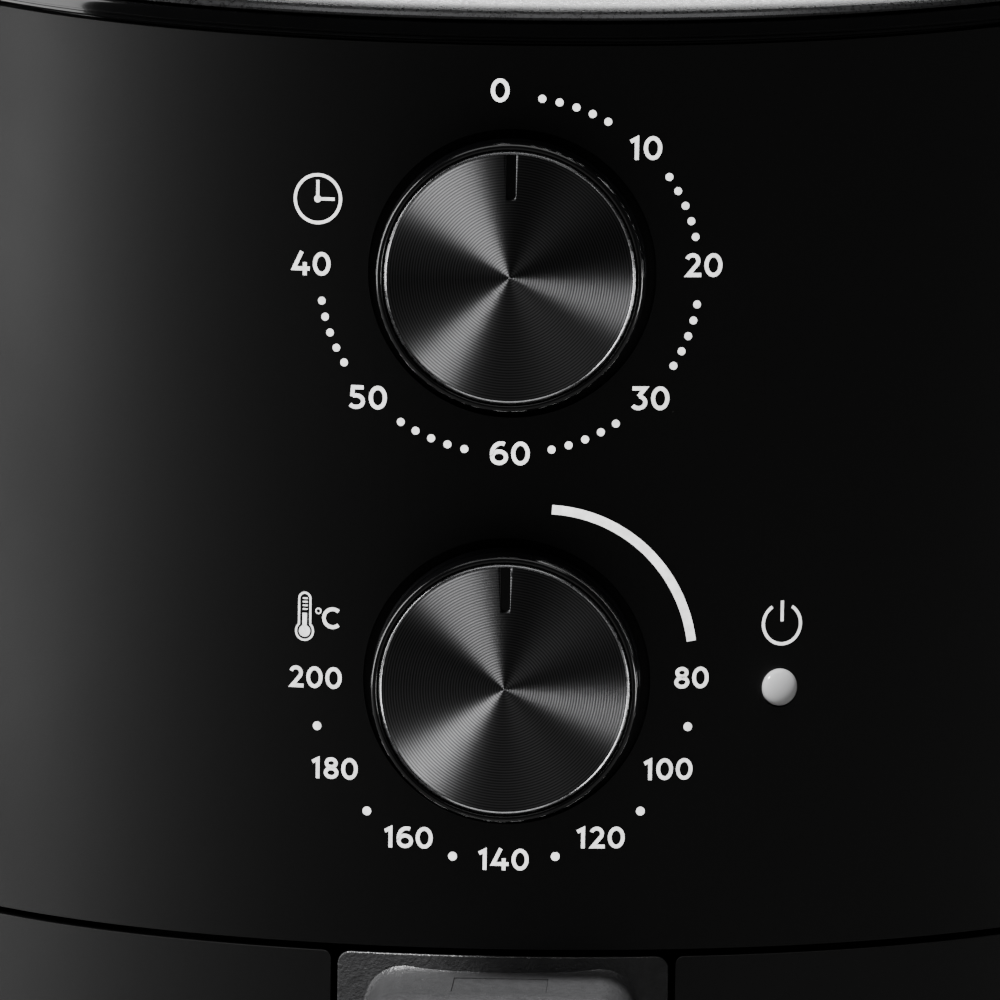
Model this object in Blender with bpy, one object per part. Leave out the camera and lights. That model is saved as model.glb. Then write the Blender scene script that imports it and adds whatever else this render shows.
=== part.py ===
"""Round drawer air fryer with two dials, as separate pieces.

Units are metres. The object stands on Z = 0 with its front facing -Y. All pieces hang on one empty on
the drum's axis, which is set back so that the origin lies under the middle of the whole object.
Places below are measured from the drum's axis, unless a name says otherwise.
"""

from math import asin, atan2, cos, degrees, pi, radians, sin, sqrt, tan

import bmesh
import bpy
from mathutils import Matrix, Vector

# ---- driving sizes ---------------------------------------------------------------------------------
BODY_RADIUS = 0.136
SHELL_WALL = 0.003
LID_FRONT_Z = 0.296
LID_SLOPE = radians(6.0)
FOOT_HEIGHT = 0.005
FOOT_RADIUS = 0.009
FOOT_INSET = 0.028
BASE_HEIGHT = 0.013
BASE_WALL = 0.003
BASE_INSET = 0.0015
SEAM_Z = 0.122
SEAM_GAP = 0.0014
DRAWER_HALF_ANGLE = radians(80.0)

TIMER_BELOW_LID = 0.0435
DIAL_PITCH = 0.0785
KNOB_RADIUS = 0.0254
KNOB_RIM = 0.0015
KNOB_PROUD = 0.0145
KNOB_BORE_DEPTH = 0.012
WELL_GAP = 0.0022
WELL_DEPTH = 0.0045
WELL_FLOOR = 0.002
DIAL_SHAFT_RADIUS = 0.003
DIAL_BUSH_RADIUS = 0.005
POINTER_WIDTH = 0.0019
POINTER_LENGTH = 0.0078
TIMER_CASE_HALF = 0.021
TIMER_CASE_DEPTH = 0.028
THERMOSTAT_HALF = 0.013
THERMOSTAT_DEPTH = 0.021
CAPILLARY_RADIUS = 0.0012
LENS_RADIUS = 0.0036
LENS_ANGLE = radians(22.8)
LENS_DROP = 0.0014

BAND_HEIGHT = 0.0042
BAND_INSET = 0.0003
TONGUE_WIDTH = 0.0024
TONGUE_DEPTH = 0.005
TRIM_WIDTH = 0.019
TRIM_INSET = 0.0014
TRIM_HEIGHT = 0.0025
PANEL_RECESS = 0.003
PANEL_THICKNESS = 0.0028

SHEET = 0.0012
LINER_GAP = 0.020
PAN_GAP = 0.005
PAN_FLOOR_Z = 0.024
PAN_BELOW_SEAM = 0.010
BASKET_GAP = 0.005
BASKET_FLOOR_Z = 0.038
BASKET_BELOW_SEAM = 0.004
BASKET_WALL = 0.001
HOOD_GAP = 0.013
HOOD_ABOVE_SEAM = 0.0053
HOOD_HEIGHT = 0.0387
FAN_RADIUS = 0.047
COOLING_FAN_RADIUS = 0.055
MOTOR_SHAFT_RADIUS = 0.003
STATOR_HEIGHT = 0.018
ROTOR_RADIUS = 0.015
ELEMENT_TUBE_RADIUS = 0.0032
ELEMENT_INNER_RADIUS = 0.052
ELEMENT_WALL_GAP = 0.016
ELEMENT_TURNS = 2.25

HANDLE_BLOCK_WIDTH = 0.064
HANDLE_BLOCK_HEIGHT = 0.0646
HANDLE_BLOCK_DEPTH = 0.010
HANDLE_BLOCK_CORNER = 0.0025
HANDLE_GAP = 0.0013
GRIP_WIDTH = 0.052
GRIP_REACH = 0.050
GRIP_THICKNESS = 0.022
GRIP_LENGTH = 0.078
GRIP_NOSE = 0.010
GRIP_TIP = 0.009
GRIP_THROAT = 0.012
ARM_DROP = 0.0023
ARM_THICKNESS = 0.0175
BUTTON_TRAVEL = 0.003
BUTTON_SETBACK = 0.0355
BUTTON_HALF_WIDTH = 0.009
BUTTON_HALF_LENGTH = 0.0085
BUTTON_HEAD = 0.0045
BUTTON_GAP = 0.0005
BUTTON_SINK = 0.0002
STEM_HALF_WIDTH = 0.004
STEM_REACH = 0.003
LATCH_PIN_RADIUS = 0.0015
LATCH_PIN_DROP = 0.0088
LEVER_HEIGHT = 0.003
LATCH_HALF_WIDTH = 0.0045
CHANNEL_HALF_WIDTH = 0.0065
CHANNEL_DEPTH = 0.0075
HOOK_DROP = 0.0155
HOOK_HEIGHT = 0.003
SPRING_RADIUS = 0.0022
SPRING_WIRE = 0.0004
SPRING_TURNS = 4
STRIKE_SHEET = 0.0012

GRILLE_WIDTH = 0.092
GRILLE_HEIGHT = 0.050
GRILLE_Z = 0.205
GRILLE_SLOTS = 5
DUCT_FRONT_Y = 0.084
GLAND_Z = 0.045
GLAND_RADIUS = 0.006
GLAND_FLANGE = 0.002
CORD_RADIUS = 0.0034
GLAND_PROUD = 0.006

SCREW_INSET = 0.051
SCREW_RADIUS = 0.002
SCREW_SINK = 0.0026
SCREW_HEAD_RADIUS = 0.004
SMALL_SCREW_RADIUS = 0.0015
FOOT_ANGLES = {"front_left": -pi / 4, "front_right": pi / 4, "rear_right": 3 * pi / 4,
               "rear_left": -3 * pi / 4}
BASE_SCREW_ANGLES = {"left": -pi / 3, "right": pi / 3, "rear": pi}
HANDLE_SCREWS = (("left", -0.021), ("right", 0.021))
POST_X = 0.052
POST_RADIUS = 0.004

CLEARANCE = 0.0003
OVERCUT = 0.004
BIG = 48
MEDIUM = 40
KNOB = 32
ROUND = 24
SMALL = 12
ALONG_Y = (pi / 2, 0, 0)
ALONG_X = (0, pi / 2, 0)

# ---- sizes that follow -----------------------------------------------------------------------------
BASE_Z = FOOT_HEIGHT
BASE_TOP_Z = BASE_Z + BASE_HEIGHT
SHELL_INNER = BODY_RADIUS - SHELL_WALL
FOOT_CIRCLE = BODY_RADIUS - FOOT_INSET
SCREW_CIRCLE = BODY_RADIUS - SCREW_INSET
FRONT_TOP_Z = SEAM_Z - SEAM_GAP
TIMER_Z = LID_FRONT_Z - TIMER_BELOW_LID
TEMPERATURE_Z = TIMER_Z - DIAL_PITCH
KNOB_FACE_RADIUS = KNOB_RADIUS - KNOB_RIM
WELL_RADIUS = KNOB_RADIUS + WELL_GAP
WELL_Y = -BODY_RADIUS + WELL_DEPTH
WELL_BACK_Y = WELL_Y + WELL_FLOOR
KNOB_FRONT_Y = -BODY_RADIUS - KNOB_PROUD
LINER_RADIUS = SHELL_INNER - LINER_GAP
LINER_Z = BASE_TOP_Z + CLEARANCE
PAN_RADIUS = LINER_RADIUS - PAN_GAP
PAN_TOP_Z = SEAM_Z - PAN_BELOW_SEAM
BASKET_RADIUS = PAN_RADIUS - BASKET_GAP
BASKET_TOP_Z = SEAM_Z - BASKET_BELOW_SEAM
BASKET_SEAT_Z = PAN_TOP_Z + CLEARANCE
HOOD_RADIUS = LINER_RADIUS - HOOD_GAP
HOOD_Z = SEAM_Z + HOOD_ABOVE_SEAM
HOOD_TOP_Z = HOOD_Z + HOOD_HEIGHT
ELEMENT_OUTER_RADIUS = HOOD_RADIUS - ELEMENT_WALL_GAP
ELEMENT_Z = HOOD_Z + 0.0185
GRIP_FRONT_Y = -BODY_RADIUS - GRIP_REACH
GLAND_REAR_Y = BODY_RADIUS + GLAND_PROUD
BODY_Y = (-GRIP_FRONT_Y - GLAND_REAR_Y) / 2
BLOCK_TOP_Z = FRONT_TOP_Z
BLOCK_BOTTOM_Z = BLOCK_TOP_Z - HANDLE_BLOCK_HEIGHT
BLOCK_REAR_Y = -BODY_RADIUS + HANDLE_BLOCK_DEPTH
ARM_TOP_Z = BLOCK_TOP_Z - ARM_DROP
ARM_BOTTOM_Z = ARM_TOP_Z - ARM_THICKNESS
COVER_THICKNESS = 0.002
COVER_Y = -PAN_RADIUS - 2 * COVER_THICKNESS
COVER_TOP_Z = PAN_TOP_Z - COVER_THICKNESS
BUTTON_Y = GRIP_FRONT_Y + BUTTON_SETBACK
BUTTON_TOP_Z = ARM_TOP_Z - BUTTON_SINK
LATCH_PIN_Y = BLOCK_REAR_Y - 0.003
LATCH_PIN_Z = ARM_TOP_Z - LATCH_PIN_DROP
HOOK_Z = LATCH_PIN_Z - HOOK_DROP
STRIKE_FRONT_Y = BLOCK_REAR_Y + 0.0004
STRIKE_LOW_Z = BLOCK_BOTTOM_Z - 0.026
STRIKE_PAD_TOP_Z = BLOCK_BOTTOM_Z - HANDLE_GAP - 0.003


def rad_to_front(angle, radius):
    """Point on a circle round the drum's axis; angle 0 is the front, positive is to the right."""
    return Vector((radius * sin(angle), -radius * cos(angle), 0.0))


def lid_rise(y):
    return (y + BODY_RADIUS) * tan(LID_SLOPE)


# ---- scene and object helpers ----------------------------------------------------------------------
def clear_scene():
    for old in list(bpy.data.objects):
        bpy.data.objects.remove(old, do_unlink=True)


def material(name, colour, roughness, metallic=0.0):
    made = bpy.data.materials.new(name)
    made.use_nodes = True
    shader = made.node_tree.nodes["Principled BSDF"]
    shader.inputs["Base Color"].default_value = (*colour, 1.0)
    shader.inputs["Roughness"].default_value = roughness
    shader.inputs["Metallic"].default_value = metallic
    return made


FINISHES = {
    "matte_black": ((0.012, 0.012, 0.013), 0.5, 0.0),
    "gloss_black": ((0.006, 0.006, 0.007), 0.12, 0.0),
    "satin_grey": ((0.22, 0.22, 0.23), 0.35, 0.6),
    "spun_dark_metal": ((0.09, 0.09, 0.095), 0.3, 1.0),
    "rubber": ((0.02, 0.02, 0.02), 0.8, 0.0),
    "steel": ((0.55, 0.55, 0.56), 0.35, 1.0),
    "dark_steel": ((0.2, 0.2, 0.2), 0.4, 1.0),
    "coated_black": ((0.03, 0.03, 0.03), 0.4, 0.3),
    "aluminium": ((0.7, 0.7, 0.72), 0.35, 1.0),
    "copper": ((0.7, 0.3, 0.15), 0.3, 1.0),
    "brass": ((0.75, 0.6, 0.3), 0.3, 1.0),
    "milky_lens": ((0.85, 0.85, 0.85), 0.2, 0.0),
    "clear_plastic": ((0.5, 0.5, 0.52), 0.1, 0.0),
    "white_plastic": ((0.8, 0.8, 0.78), 0.5, 0.0),
    "cream_plastic": ((0.75, 0.7, 0.6), 0.5, 0.0),
}


def finish_object(name, bm, finish, location=(0, 0, 0), rotation=(0, 0, 0)):
    bmesh.ops.remove_doubles(bm, verts=bm.verts, dist=1e-6)
    bmesh.ops.dissolve_degenerate(bm, edges=bm.edges, dist=1e-7)
    bmesh.ops.recalc_face_normals(bm, faces=bm.faces)
    mesh = bpy.data.meshes.new(name)
    bm.to_mesh(mesh)
    bm.free()
    mesh.shade_smooth()
    mesh.set_sharp_from_angle(angle=radians(30))
    made = bpy.data.objects.new(name, mesh)
    bpy.context.collection.objects.link(made)
    made.location = location
    made.rotation_euler = rotation
    made.parent = bpy.data.objects["air_fryer_axis"]
    if finish:
        mesh.materials.append(material(name + "_finish", *FINISHES[finish]))
    else:
        made.hide_render = True
        made.display_type = "WIRE"
    return made


def turned(name, profile, finish, segments=BIG, location=(0, 0, 0), rotation=(0, 0, 0), shape=None):
    """Spin a closed (radius, height) outline a full turn; shape may then move the points."""
    bm = bmesh.new()
    ring = [bm.verts.new((r, 0, z)) for r, z in profile]
    edges = []
    for index, vert in enumerate(ring):
        after = ring[(index + 1) % len(ring)]
        if not (abs(vert.co.x) < 1e-9 and abs(after.co.x) < 1e-9):
            edges.append(bm.edges.new((vert, after)))
    bmesh.ops.spin(bm, geom=ring + edges, cent=(0, 0, 0), axis=(0, 0, 1), angle=2 * pi,
                   steps=segments, use_merge=True)
    if shape:
        bmesh.ops.remove_doubles(bm, verts=bm.verts, dist=1e-6)
        for vert in bm.verts:
            vert.co = shape(vert.co.copy())
    return finish_object(name, bm, finish, location, rotation)


def turned_arc(name, profile, half_angle, finish, steps=40, location=(0, 0, 0)):
    """Spin a closed outline through an arc centred on the front, with closed ends."""
    bm = bmesh.new()
    start = Matrix.Rotation(-half_angle - pi / 2, 3, "Z")
    ring = [bm.verts.new(start @ Vector((r, 0, z))) for r, z in profile]
    face = bm.faces.new(ring)
    bmesh.ops.spin(bm, geom=[face] + ring + list(face.edges), cent=(0, 0, 0), axis=(0, 0, 1),
                   angle=2 * half_angle, steps=steps)
    return finish_object(name, bm, finish, location)


def slab(name, outline, low, high, finish, plane="XY", bevel=0.0, bevel_steps=2):
    """Extrude a closed outline from low to high, along the axis that the plane leaves out."""
    place = {"XY": lambda a, b, c: (a, b, c), "XZ": lambda a, b, c: (a, c, b),
             "YZ": lambda a, b, c: (c, a, b)}[plane]
    bm = bmesh.new()
    face = bm.faces.new([bm.verts.new(place(a, b, low)) for a, b in outline])
    grown = bmesh.ops.extrude_face_region(bm, geom=[face])
    moved = [item for item in grown["geom"] if isinstance(item, bmesh.types.BMVert)]
    bmesh.ops.translate(bm, verts=moved, vec=place(0, 0, high - low))
    if bevel:
        bmesh.ops.recalc_face_normals(bm, faces=bm.faces)
        caps = [f for f in bm.faces if len(f.verts) == len(outline)]
        rim = list({edge for f in caps for edge in f.edges})
        bmesh.ops.bevel(bm, geom=rim, offset=bevel, segments=bevel_steps, profile=0.5,
                        affect="EDGES", clamp_overlap=True)
    return finish_object(name, bm, finish)


def box(name, low, high, finish, bevel=0.0):
    outline = [(low[0], low[1]), (high[0], low[1]), (high[0], high[1]), (low[0], high[1])]
    return slab(name, outline, low[2], high[2], finish, bevel=bevel, bevel_steps=1)


def tube_along(name, points, radius, finish, resolution=1):
    """A solid round tube along a line of points, with filled ends."""
    data = bpy.data.curves.new(name, "CURVE")
    data.dimensions = "3D"
    data.bevel_depth = radius
    data.bevel_resolution = resolution
    data.use_fill_caps = True
    spline = data.splines.new("POLY")
    spline.points.add(len(points) - 1)
    for point, place in zip(spline.points, points):
        point.co = (*place, 1.0)
    data.materials.append(material(name + "_finish", *FINISHES[finish]))
    made = bpy.data.objects.new(name, data)
    bpy.context.collection.objects.link(made)
    made.parent = bpy.data.objects["air_fryer_axis"]
    return made


def smooth_route(corners, per_span):
    """Points on a smooth curve through the corners."""
    ends = [corners[0] * 2 - corners[1]] + corners + [corners[-1] * 2 - corners[-2]]
    points = []
    for before, start, end, after in zip(ends, ends[1:], ends[2:], ends[3:]):
        for step in range(per_span):
            t = step / per_span
            points.append(0.5 * (2 * start + (end - before) * t
                                 + (2 * before - 5 * start + 4 * end - after) * t * t
                                 + (3 * start - before - 3 * end + after) * t ** 3))
    return points + [corners[-1]]


def arc_points(centre, radius, start, end, steps):
    """Points on an arc in a plane; angles in degrees."""
    angles = [radians(start + (end - start) * step / steps) for step in range(steps + 1)]
    return [(centre[0] + radius * cos(a), centre[1] + radius * sin(a)) for a in angles]


def combine(target, tool, operation):
    change = target.modifiers.new(operation.lower() + "_" + tool.name, "BOOLEAN")
    change.operation = operation
    change.solver = "EXACT"
    change.object = tool
    return target


def cut(target, *tools):
    for tool in tools:
        combine(target, tool, "DIFFERENCE")
    return target


def join(target, *tools):
    for tool in tools:
        combine(target, tool, "UNION")
    return target


def cutter_box(name, low, high):
    return box(name, low, high, None)


def cutter_rod(name, radius, length, location, rotation=(0, 0, 0), segments=SMALL):
    """A plain cylinder centred on its location, along its own Z."""
    half = length / 2
    profile = [(0, -half), (radius, -half), (radius, half), (0, half)]
    return turned(name, profile, None, segments, location, rotation)


def screw(name, head_place, rotation, length, head_radius=0.003, shank_radius=0.0015, head_height=0.0016):
    """A pan-head screw: the underside of its head is at head_place and its head points along +Z."""
    profile = [(0, -length), (shank_radius, -length), (shank_radius, 0), (head_radius, 0),
               (head_radius, head_height * 0.5), (head_radius * 0.6, head_height), (0, head_height)]
    return turned(name, profile, "steel", 10, head_place, rotation)


# ---- base ------------------------------------------------------------------------------------------

def make_base():
    outer = BODY_RADIUS - BASE_INSET
    inner = outer - BASE_WALL
    floor = BASE_Z + BASE_WALL
    profile = [(0, BASE_Z), (outer - 0.002, BASE_Z), (outer, BASE_Z + 0.002),
               (outer, BASE_TOP_Z - CLEARANCE),
               (inner, BASE_TOP_Z - CLEARANCE), (inner, floor), (0, floor)]
    base = turned("base_pan", profile, "matte_black")
    for corner, angle in BASE_SCREW_ANGLES.items():
        place = rad_to_front(angle, SCREW_CIRCLE)
        boss = cutter_rod("base_boss_" + corner, 0.0055, BASE_HEIGHT - 0.001,
                          place + Vector((0, 0, BASE_Z + 0.001 + (BASE_HEIGHT - 0.001) / 2)))
        bore_profile = [(0, BASE_Z - OVERCUT), (SCREW_HEAD_RADIUS + CLEARANCE, BASE_Z - OVERCUT),
                        (SCREW_HEAD_RADIUS + CLEARANCE, BASE_Z + SCREW_SINK),
                        (SCREW_RADIUS + CLEARANCE, BASE_Z + SCREW_SINK),
                        (SCREW_RADIUS + CLEARANCE, BASE_TOP_Z + OVERCUT), (0, BASE_TOP_Z + OVERCUT)]
        join(base, boss)
        cut(base, turned("base_bore_" + corner, bore_profile, None, SMALL, place))
        screw("base_screw_" + corner, place + Vector((0, 0, BASE_Z + SCREW_SINK - CLEARANCE)), (pi, 0, 0),
              BASE_HEIGHT + 0.001, SCREW_HEAD_RADIUS, SCREW_RADIUS, 0.0022)
    for corner, angle in FOOT_ANGLES.items():
        foot_profile = [(0, 0), (FOOT_RADIUS - 0.0012, 0), (FOOT_RADIUS, 0.0012),
                        (FOOT_RADIUS, FOOT_HEIGHT - CLEARANCE), (0, FOOT_HEIGHT - CLEARANCE)]
        turned("foot_" + corner, foot_profile, "rubber", 24, rad_to_front(angle, FOOT_CIRCLE))


def make_cord_gland():
    inside = SHELL_INNER - 0.003
    flange = GLAND_RADIUS + GLAND_FLANGE
    profile = [(CORD_RADIUS, inside), (flange, inside), (flange, SHELL_INNER - SHEET),
               (GLAND_RADIUS, SHELL_INNER - SHEET), (GLAND_RADIUS, BODY_RADIUS + CLEARANCE),
               (flange, BODY_RADIUS + CLEARANCE), (flange - 0.0005, BODY_RADIUS + 0.0025),
               (GLAND_RADIUS - 0.0005, GLAND_REAR_Y), (CORD_RADIUS, GLAND_REAR_Y)]
    turned("cord_gland", profile, "rubber", 24, (0, 0, GLAND_Z), (-pi / 2, 0, 0))


# ---- drum ------------------------------------------------------------------------------------------
def make_outer_shell():
    profile = [(0, BASE_TOP_Z), (BODY_RADIUS, BASE_TOP_Z), (BODY_RADIUS, LID_FRONT_Z), (0, LID_FRONT_Z)]
    lid_rear_z = LID_FRONT_Z + lid_rise(BODY_RADIUS)

    def follow_lid(co):
        if co.z > BASE_TOP_Z + 0.01:
            co.z += lid_rise(co.y)
        return co

    shell = turned("outer_shell", profile, "matte_black", BIG, shape=follow_lid)
    inside = turned("drum_inside", [(0, BASE_TOP_Z - OVERCUT), (SHELL_INNER, BASE_TOP_Z - OVERCUT),
                                    (SHELL_INNER, lid_rear_z + OVERCUT),
                                    (0, lid_rear_z + OVERCUT)], None, BIG)
    wells = (("timer", TIMER_Z), ("temperature", TEMPERATURE_Z))
    for name, height in wells:
        cup = cutter_rod(name + "_well_cup", WELL_RADIUS + WELL_FLOOR, 0.02,
                         (0, WELL_BACK_Y - 0.01, height), ALONG_Y, KNOB)
        cut(inside, cup)
    cut(shell, inside)
    opening = turned_arc("drawer_opening", [(SHELL_INNER - 0.01, BASE_TOP_Z - 0.01),
                                            (BODY_RADIUS + 0.01, BASE_TOP_Z - 0.01),
                                            (BODY_RADIUS + 0.01, SEAM_Z), (SHELL_INNER - 0.01, SEAM_Z)],
                         DRAWER_HALF_ANGLE + SEAM_GAP / BODY_RADIUS, None, 24)
    cut(shell, opening)
    bush_hole = DIAL_BUSH_RADIUS + CLEARANCE
    well = [(0, BODY_RADIUS + OVERCUT), (0, -WELL_BACK_Y - OVERCUT), (bush_hole, -WELL_BACK_Y - OVERCUT),
            (bush_hole, -WELL_Y), (WELL_RADIUS, -WELL_Y), (WELL_RADIUS, BODY_RADIUS + OVERCUT)]
    for name, height in wells:
        cut(shell, turned(name + "_well", well, None, KNOB, (0, 0, height), ALONG_Y))
    lens_place = rad_to_front(LENS_ANGLE, BODY_RADIUS) + Vector((0, 0, TEMPERATURE_Z - LENS_DROP))
    cut(shell, cutter_rod("lens_hole", LENS_RADIUS + CLEARANCE, 0.03, lens_place, (pi / 2, 0, LENS_ANGLE),
                          18))
    half = GRILLE_WIDTH / 2 + CLEARANCE
    tall = GRILLE_HEIGHT / 2 + CLEARANCE
    cut(shell, cutter_box("grille_hole", (-half, BODY_RADIUS * 0.7, GRILLE_Z - tall),
                          (half, BODY_RADIUS * 1.1, GRILLE_Z + tall)))
    cut(shell, cutter_rod("gland_hole", GLAND_RADIUS + CLEARANCE, 0.03, (0, BODY_RADIUS, GLAND_Z), ALONG_Y,
                          24))


def make_rear_vent():
    inner = SHELL_INNER + 0.0002
    outer = BODY_RADIUS - 0.0002
    half_angle = asin(GRILLE_WIDTH / 2 / BODY_RADIUS)
    low = GRILLE_Z - GRILLE_HEIGHT / 2
    high = GRILLE_Z + GRILLE_HEIGHT / 2
    steps = 6
    angles = [pi - half_angle + 2 * half_angle * step / steps for step in range(steps + 1)]
    outline = [tuple(rad_to_front(a, outer).xy) for a in angles]
    outline += [tuple(rad_to_front(a, inner).xy) for a in reversed(angles)]
    grille = slab("exhaust_grille", outline, low, high, "matte_black")
    pitch = (GRILLE_HEIGHT - 0.008) / GRILLE_SLOTS
    for index in range(GRILLE_SLOTS):
        middle = low + 0.004 + pitch * (index + 0.5)
        cut(grille, cutter_box(f"grille_slot_{index + 1}", (-GRILLE_WIDTH / 2 + 0.008, BODY_RADIUS * 0.75,
                                                            middle - pitch * 0.28),
                               (GRILLE_WIDTH / 2 - 0.008, BODY_RADIUS * 1.1, middle + pitch * 0.28)))
    side = GRILLE_WIDTH / 2 - 0.008
    low_duct = (-side, DUCT_FRONT_Y, low + 0.003)
    high_duct = (side, SHELL_INNER * cos(asin(side / SHELL_INNER)) - 0.001, high - 0.003)
    duct = box("exhaust_duct", low_duct, high_duct, "dark_steel")
    cut(duct, cutter_box("duct_space", (low_duct[0] + SHEET, DUCT_FRONT_Y - 0.03, low_duct[2] + SHEET),
                         (high_duct[0] - SHEET, BODY_RADIUS * 1.5, high_duct[2] - SHEET)))


def make_lid():
    def slope(co):
        co.z += LID_FRONT_Z + lid_rise(co.y)
        return co

    outer = BODY_RADIUS - BAND_INSET
    tongue = SHELL_INNER - CLEARANCE
    trim_outer = BODY_RADIUS - TRIM_INSET
    trim_inner = trim_outer - TRIM_WIDTH
    ledge = trim_inner - 0.003
    panel_top = BAND_HEIGHT + CLEARANCE + TRIM_HEIGHT - PANEL_RECESS
    shelf = panel_top - PANEL_THICKNESS
    inside = tongue - TONGUE_WIDTH
    band = [(ledge, shelf - 0.002), (inside, shelf - 0.002), (inside, -TONGUE_DEPTH),
            (tongue, -TONGUE_DEPTH),
            (tongue, 0.0005), (outer, 0.0005), (outer, BAND_HEIGHT - 0.0006), (outer - 0.0006, BAND_HEIGHT),
            (inside, BAND_HEIGHT), (inside, shelf), (ledge, shelf)]
    turned("lid_band", band, "gloss_black", BIG, shape=slope)
    low = BAND_HEIGHT + CLEARANCE
    top = low + TRIM_HEIGHT
    ring = [(trim_inner, low - 0.002), (trim_inner + 0.002, low - 0.002), (trim_inner + 0.002, low),
            (trim_outer, low),
            (trim_outer, low + 0.0008), (trim_outer - 0.001, top - 0.0006), (trim_inner + 0.001, top),
            (trim_inner, top - 0.0006)]
    turned("lid_trim_ring", ring, "satin_grey", BIG, shape=slope)
    panel_outer = trim_inner - CLEARANCE
    panel = [(0, shelf + CLEARANCE), (panel_outer, shelf + CLEARANCE), (panel_outer, panel_top - 0.0008),
             (panel_outer - 0.001, panel_top), (0, panel_top)]
    turned("lid_panel", panel, "gloss_black", BIG, shape=slope)


# ---- dials -----------------------------------------------------------------------------------------
def make_knob(name, height):
    """Knob, spun face and shaft; local Z runs from the well's floor to the front."""
    location = (0, 0, height)
    back = -WELL_Y + 0.0006
    front = -KNOB_FRONT_Y
    seat = front - 0.0012
    bore_end = back + KNOB_BORE_DEPTH
    profile = [(0, seat), (KNOB_FACE_RADIUS + CLEARANCE, seat),
               (KNOB_FACE_RADIUS + CLEARANCE, front - 0.0004),
               (KNOB_FACE_RADIUS + 0.0006, front), (KNOB_RADIUS - 0.0005, front),
               (KNOB_RADIUS, front - 0.0006),
               (KNOB_RADIUS, back + 0.0045), (KNOB_RADIUS + 0.0005, back + 0.003),
               (KNOB_RADIUS + 0.0005, back),
               (DIAL_BUSH_RADIUS + 0.002, back), (DIAL_BUSH_RADIUS + 0.002, back + 0.004),
               (DIAL_SHAFT_RADIUS + CLEARANCE, back + 0.004), (DIAL_SHAFT_RADIUS + CLEARANCE, bore_end),
               (0, bore_end)]
    turned(name + "_knob", profile, "gloss_black", KNOB, location, ALONG_Y)
    face = [(0, seat + CLEARANCE), (KNOB_FACE_RADIUS, seat + CLEARANCE), (KNOB_FACE_RADIUS, front - 0.0006),
            (0, front - 0.0004)]
    disc = turned(name + "_knob_face", face, "spun_dark_metal", KNOB, location, ALONG_Y)
    top = KNOB_FACE_RADIUS + 0.001
    bottom = KNOB_FACE_RADIUS - POINTER_LENGTH
    slot = cutter_box(name + "_pointer_slot", (-POINTER_WIDTH / 2, KNOB_FRONT_Y - 0.001, height + bottom),
                      (POINTER_WIDTH / 2, KNOB_FRONT_Y + 0.0006 + 0.0002, height + top))
    cut(disc, slot)
    shaft = [(0, -WELL_BACK_Y - 0.006), (DIAL_SHAFT_RADIUS, -WELL_BACK_Y - 0.006),
             (DIAL_SHAFT_RADIUS, bore_end - 0.0006), (0, bore_end - 0.0006)]
    turned(name + "_shaft", shaft, "steel", SMALL, location, ALONG_Y)


def make_dial_case(name, height, half_width, depth, finish):
    """The box behind a dial, with its threaded bush through the well's floor."""
    front = WELL_BACK_Y + 0.0006
    case = box(name, (-half_width, front, height - half_width),
               (half_width, front + depth, height + half_width), finish)
    bush_front = WELL_Y - 0.0008
    bush = cutter_rod(name + "_bush", DIAL_BUSH_RADIUS, front - bush_front + 0.001,
                      (0, (front + bush_front) / 2 + 0.0005, height), ALONG_Y, 24)
    bore = cutter_rod(name + "_bore", DIAL_SHAFT_RADIUS + CLEARANCE, 0.024,
                      (0, WELL_BACK_Y - 0.005, height), ALONG_Y)
    join(case, bush)
    cut(case, bore)
    return front + depth


def make_dials():
    make_knob("timer", TIMER_Z)
    make_knob("temperature", TEMPERATURE_Z)
    timer_rear = make_dial_case("timer_case", TIMER_Z, TIMER_CASE_HALF, TIMER_CASE_DEPTH, "white_plastic")
    bell_y = -timer_rear - CLEARANCE
    dome = [(0.003, bell_y), (0.003, bell_y - 0.004), (0, bell_y - 0.004), (0, bell_y - 0.011),
            (0.010, bell_y - 0.010),
            (0.016, bell_y - 0.006), (0.018, bell_y - 0.001), (0.0168, bell_y - 0.001),
            (0.0148, bell_y - 0.0052),
            (0.0092, bell_y - 0.0088), (0.0042, bell_y - 0.0097), (0.0042, bell_y)]
    turned("timer_bell", dome, "steel", 24, (0, 0, TIMER_Z), ALONG_Y)
    make_dial_case("thermostat_body", TEMPERATURE_Z, THERMOSTAT_HALF, THERMOSTAT_DEPTH, "cream_plastic")
    bulb_circle = HOOD_RADIUS + 0.006
    bulb_z = HOOD_Z + 0.014
    start = Vector((0.0, WELL_BACK_Y + THERMOSTAT_DEPTH + 0.0025, TEMPERATURE_Z - 0.006))
    route = [start, start + Vector((0.006, 0.002, -0.003)),
             Vector((0.03, -HOOD_RADIUS - 0.008, HOOD_Z + 0.022))]
    for angle in (34, 50, 66):
        route.append(rad_to_front(radians(angle), bulb_circle) + Vector((0, 0, bulb_z)))
    tube_along("thermostat_capillary", smooth_route(route, 4), CAPILLARY_RADIUS, "copper")


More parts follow.
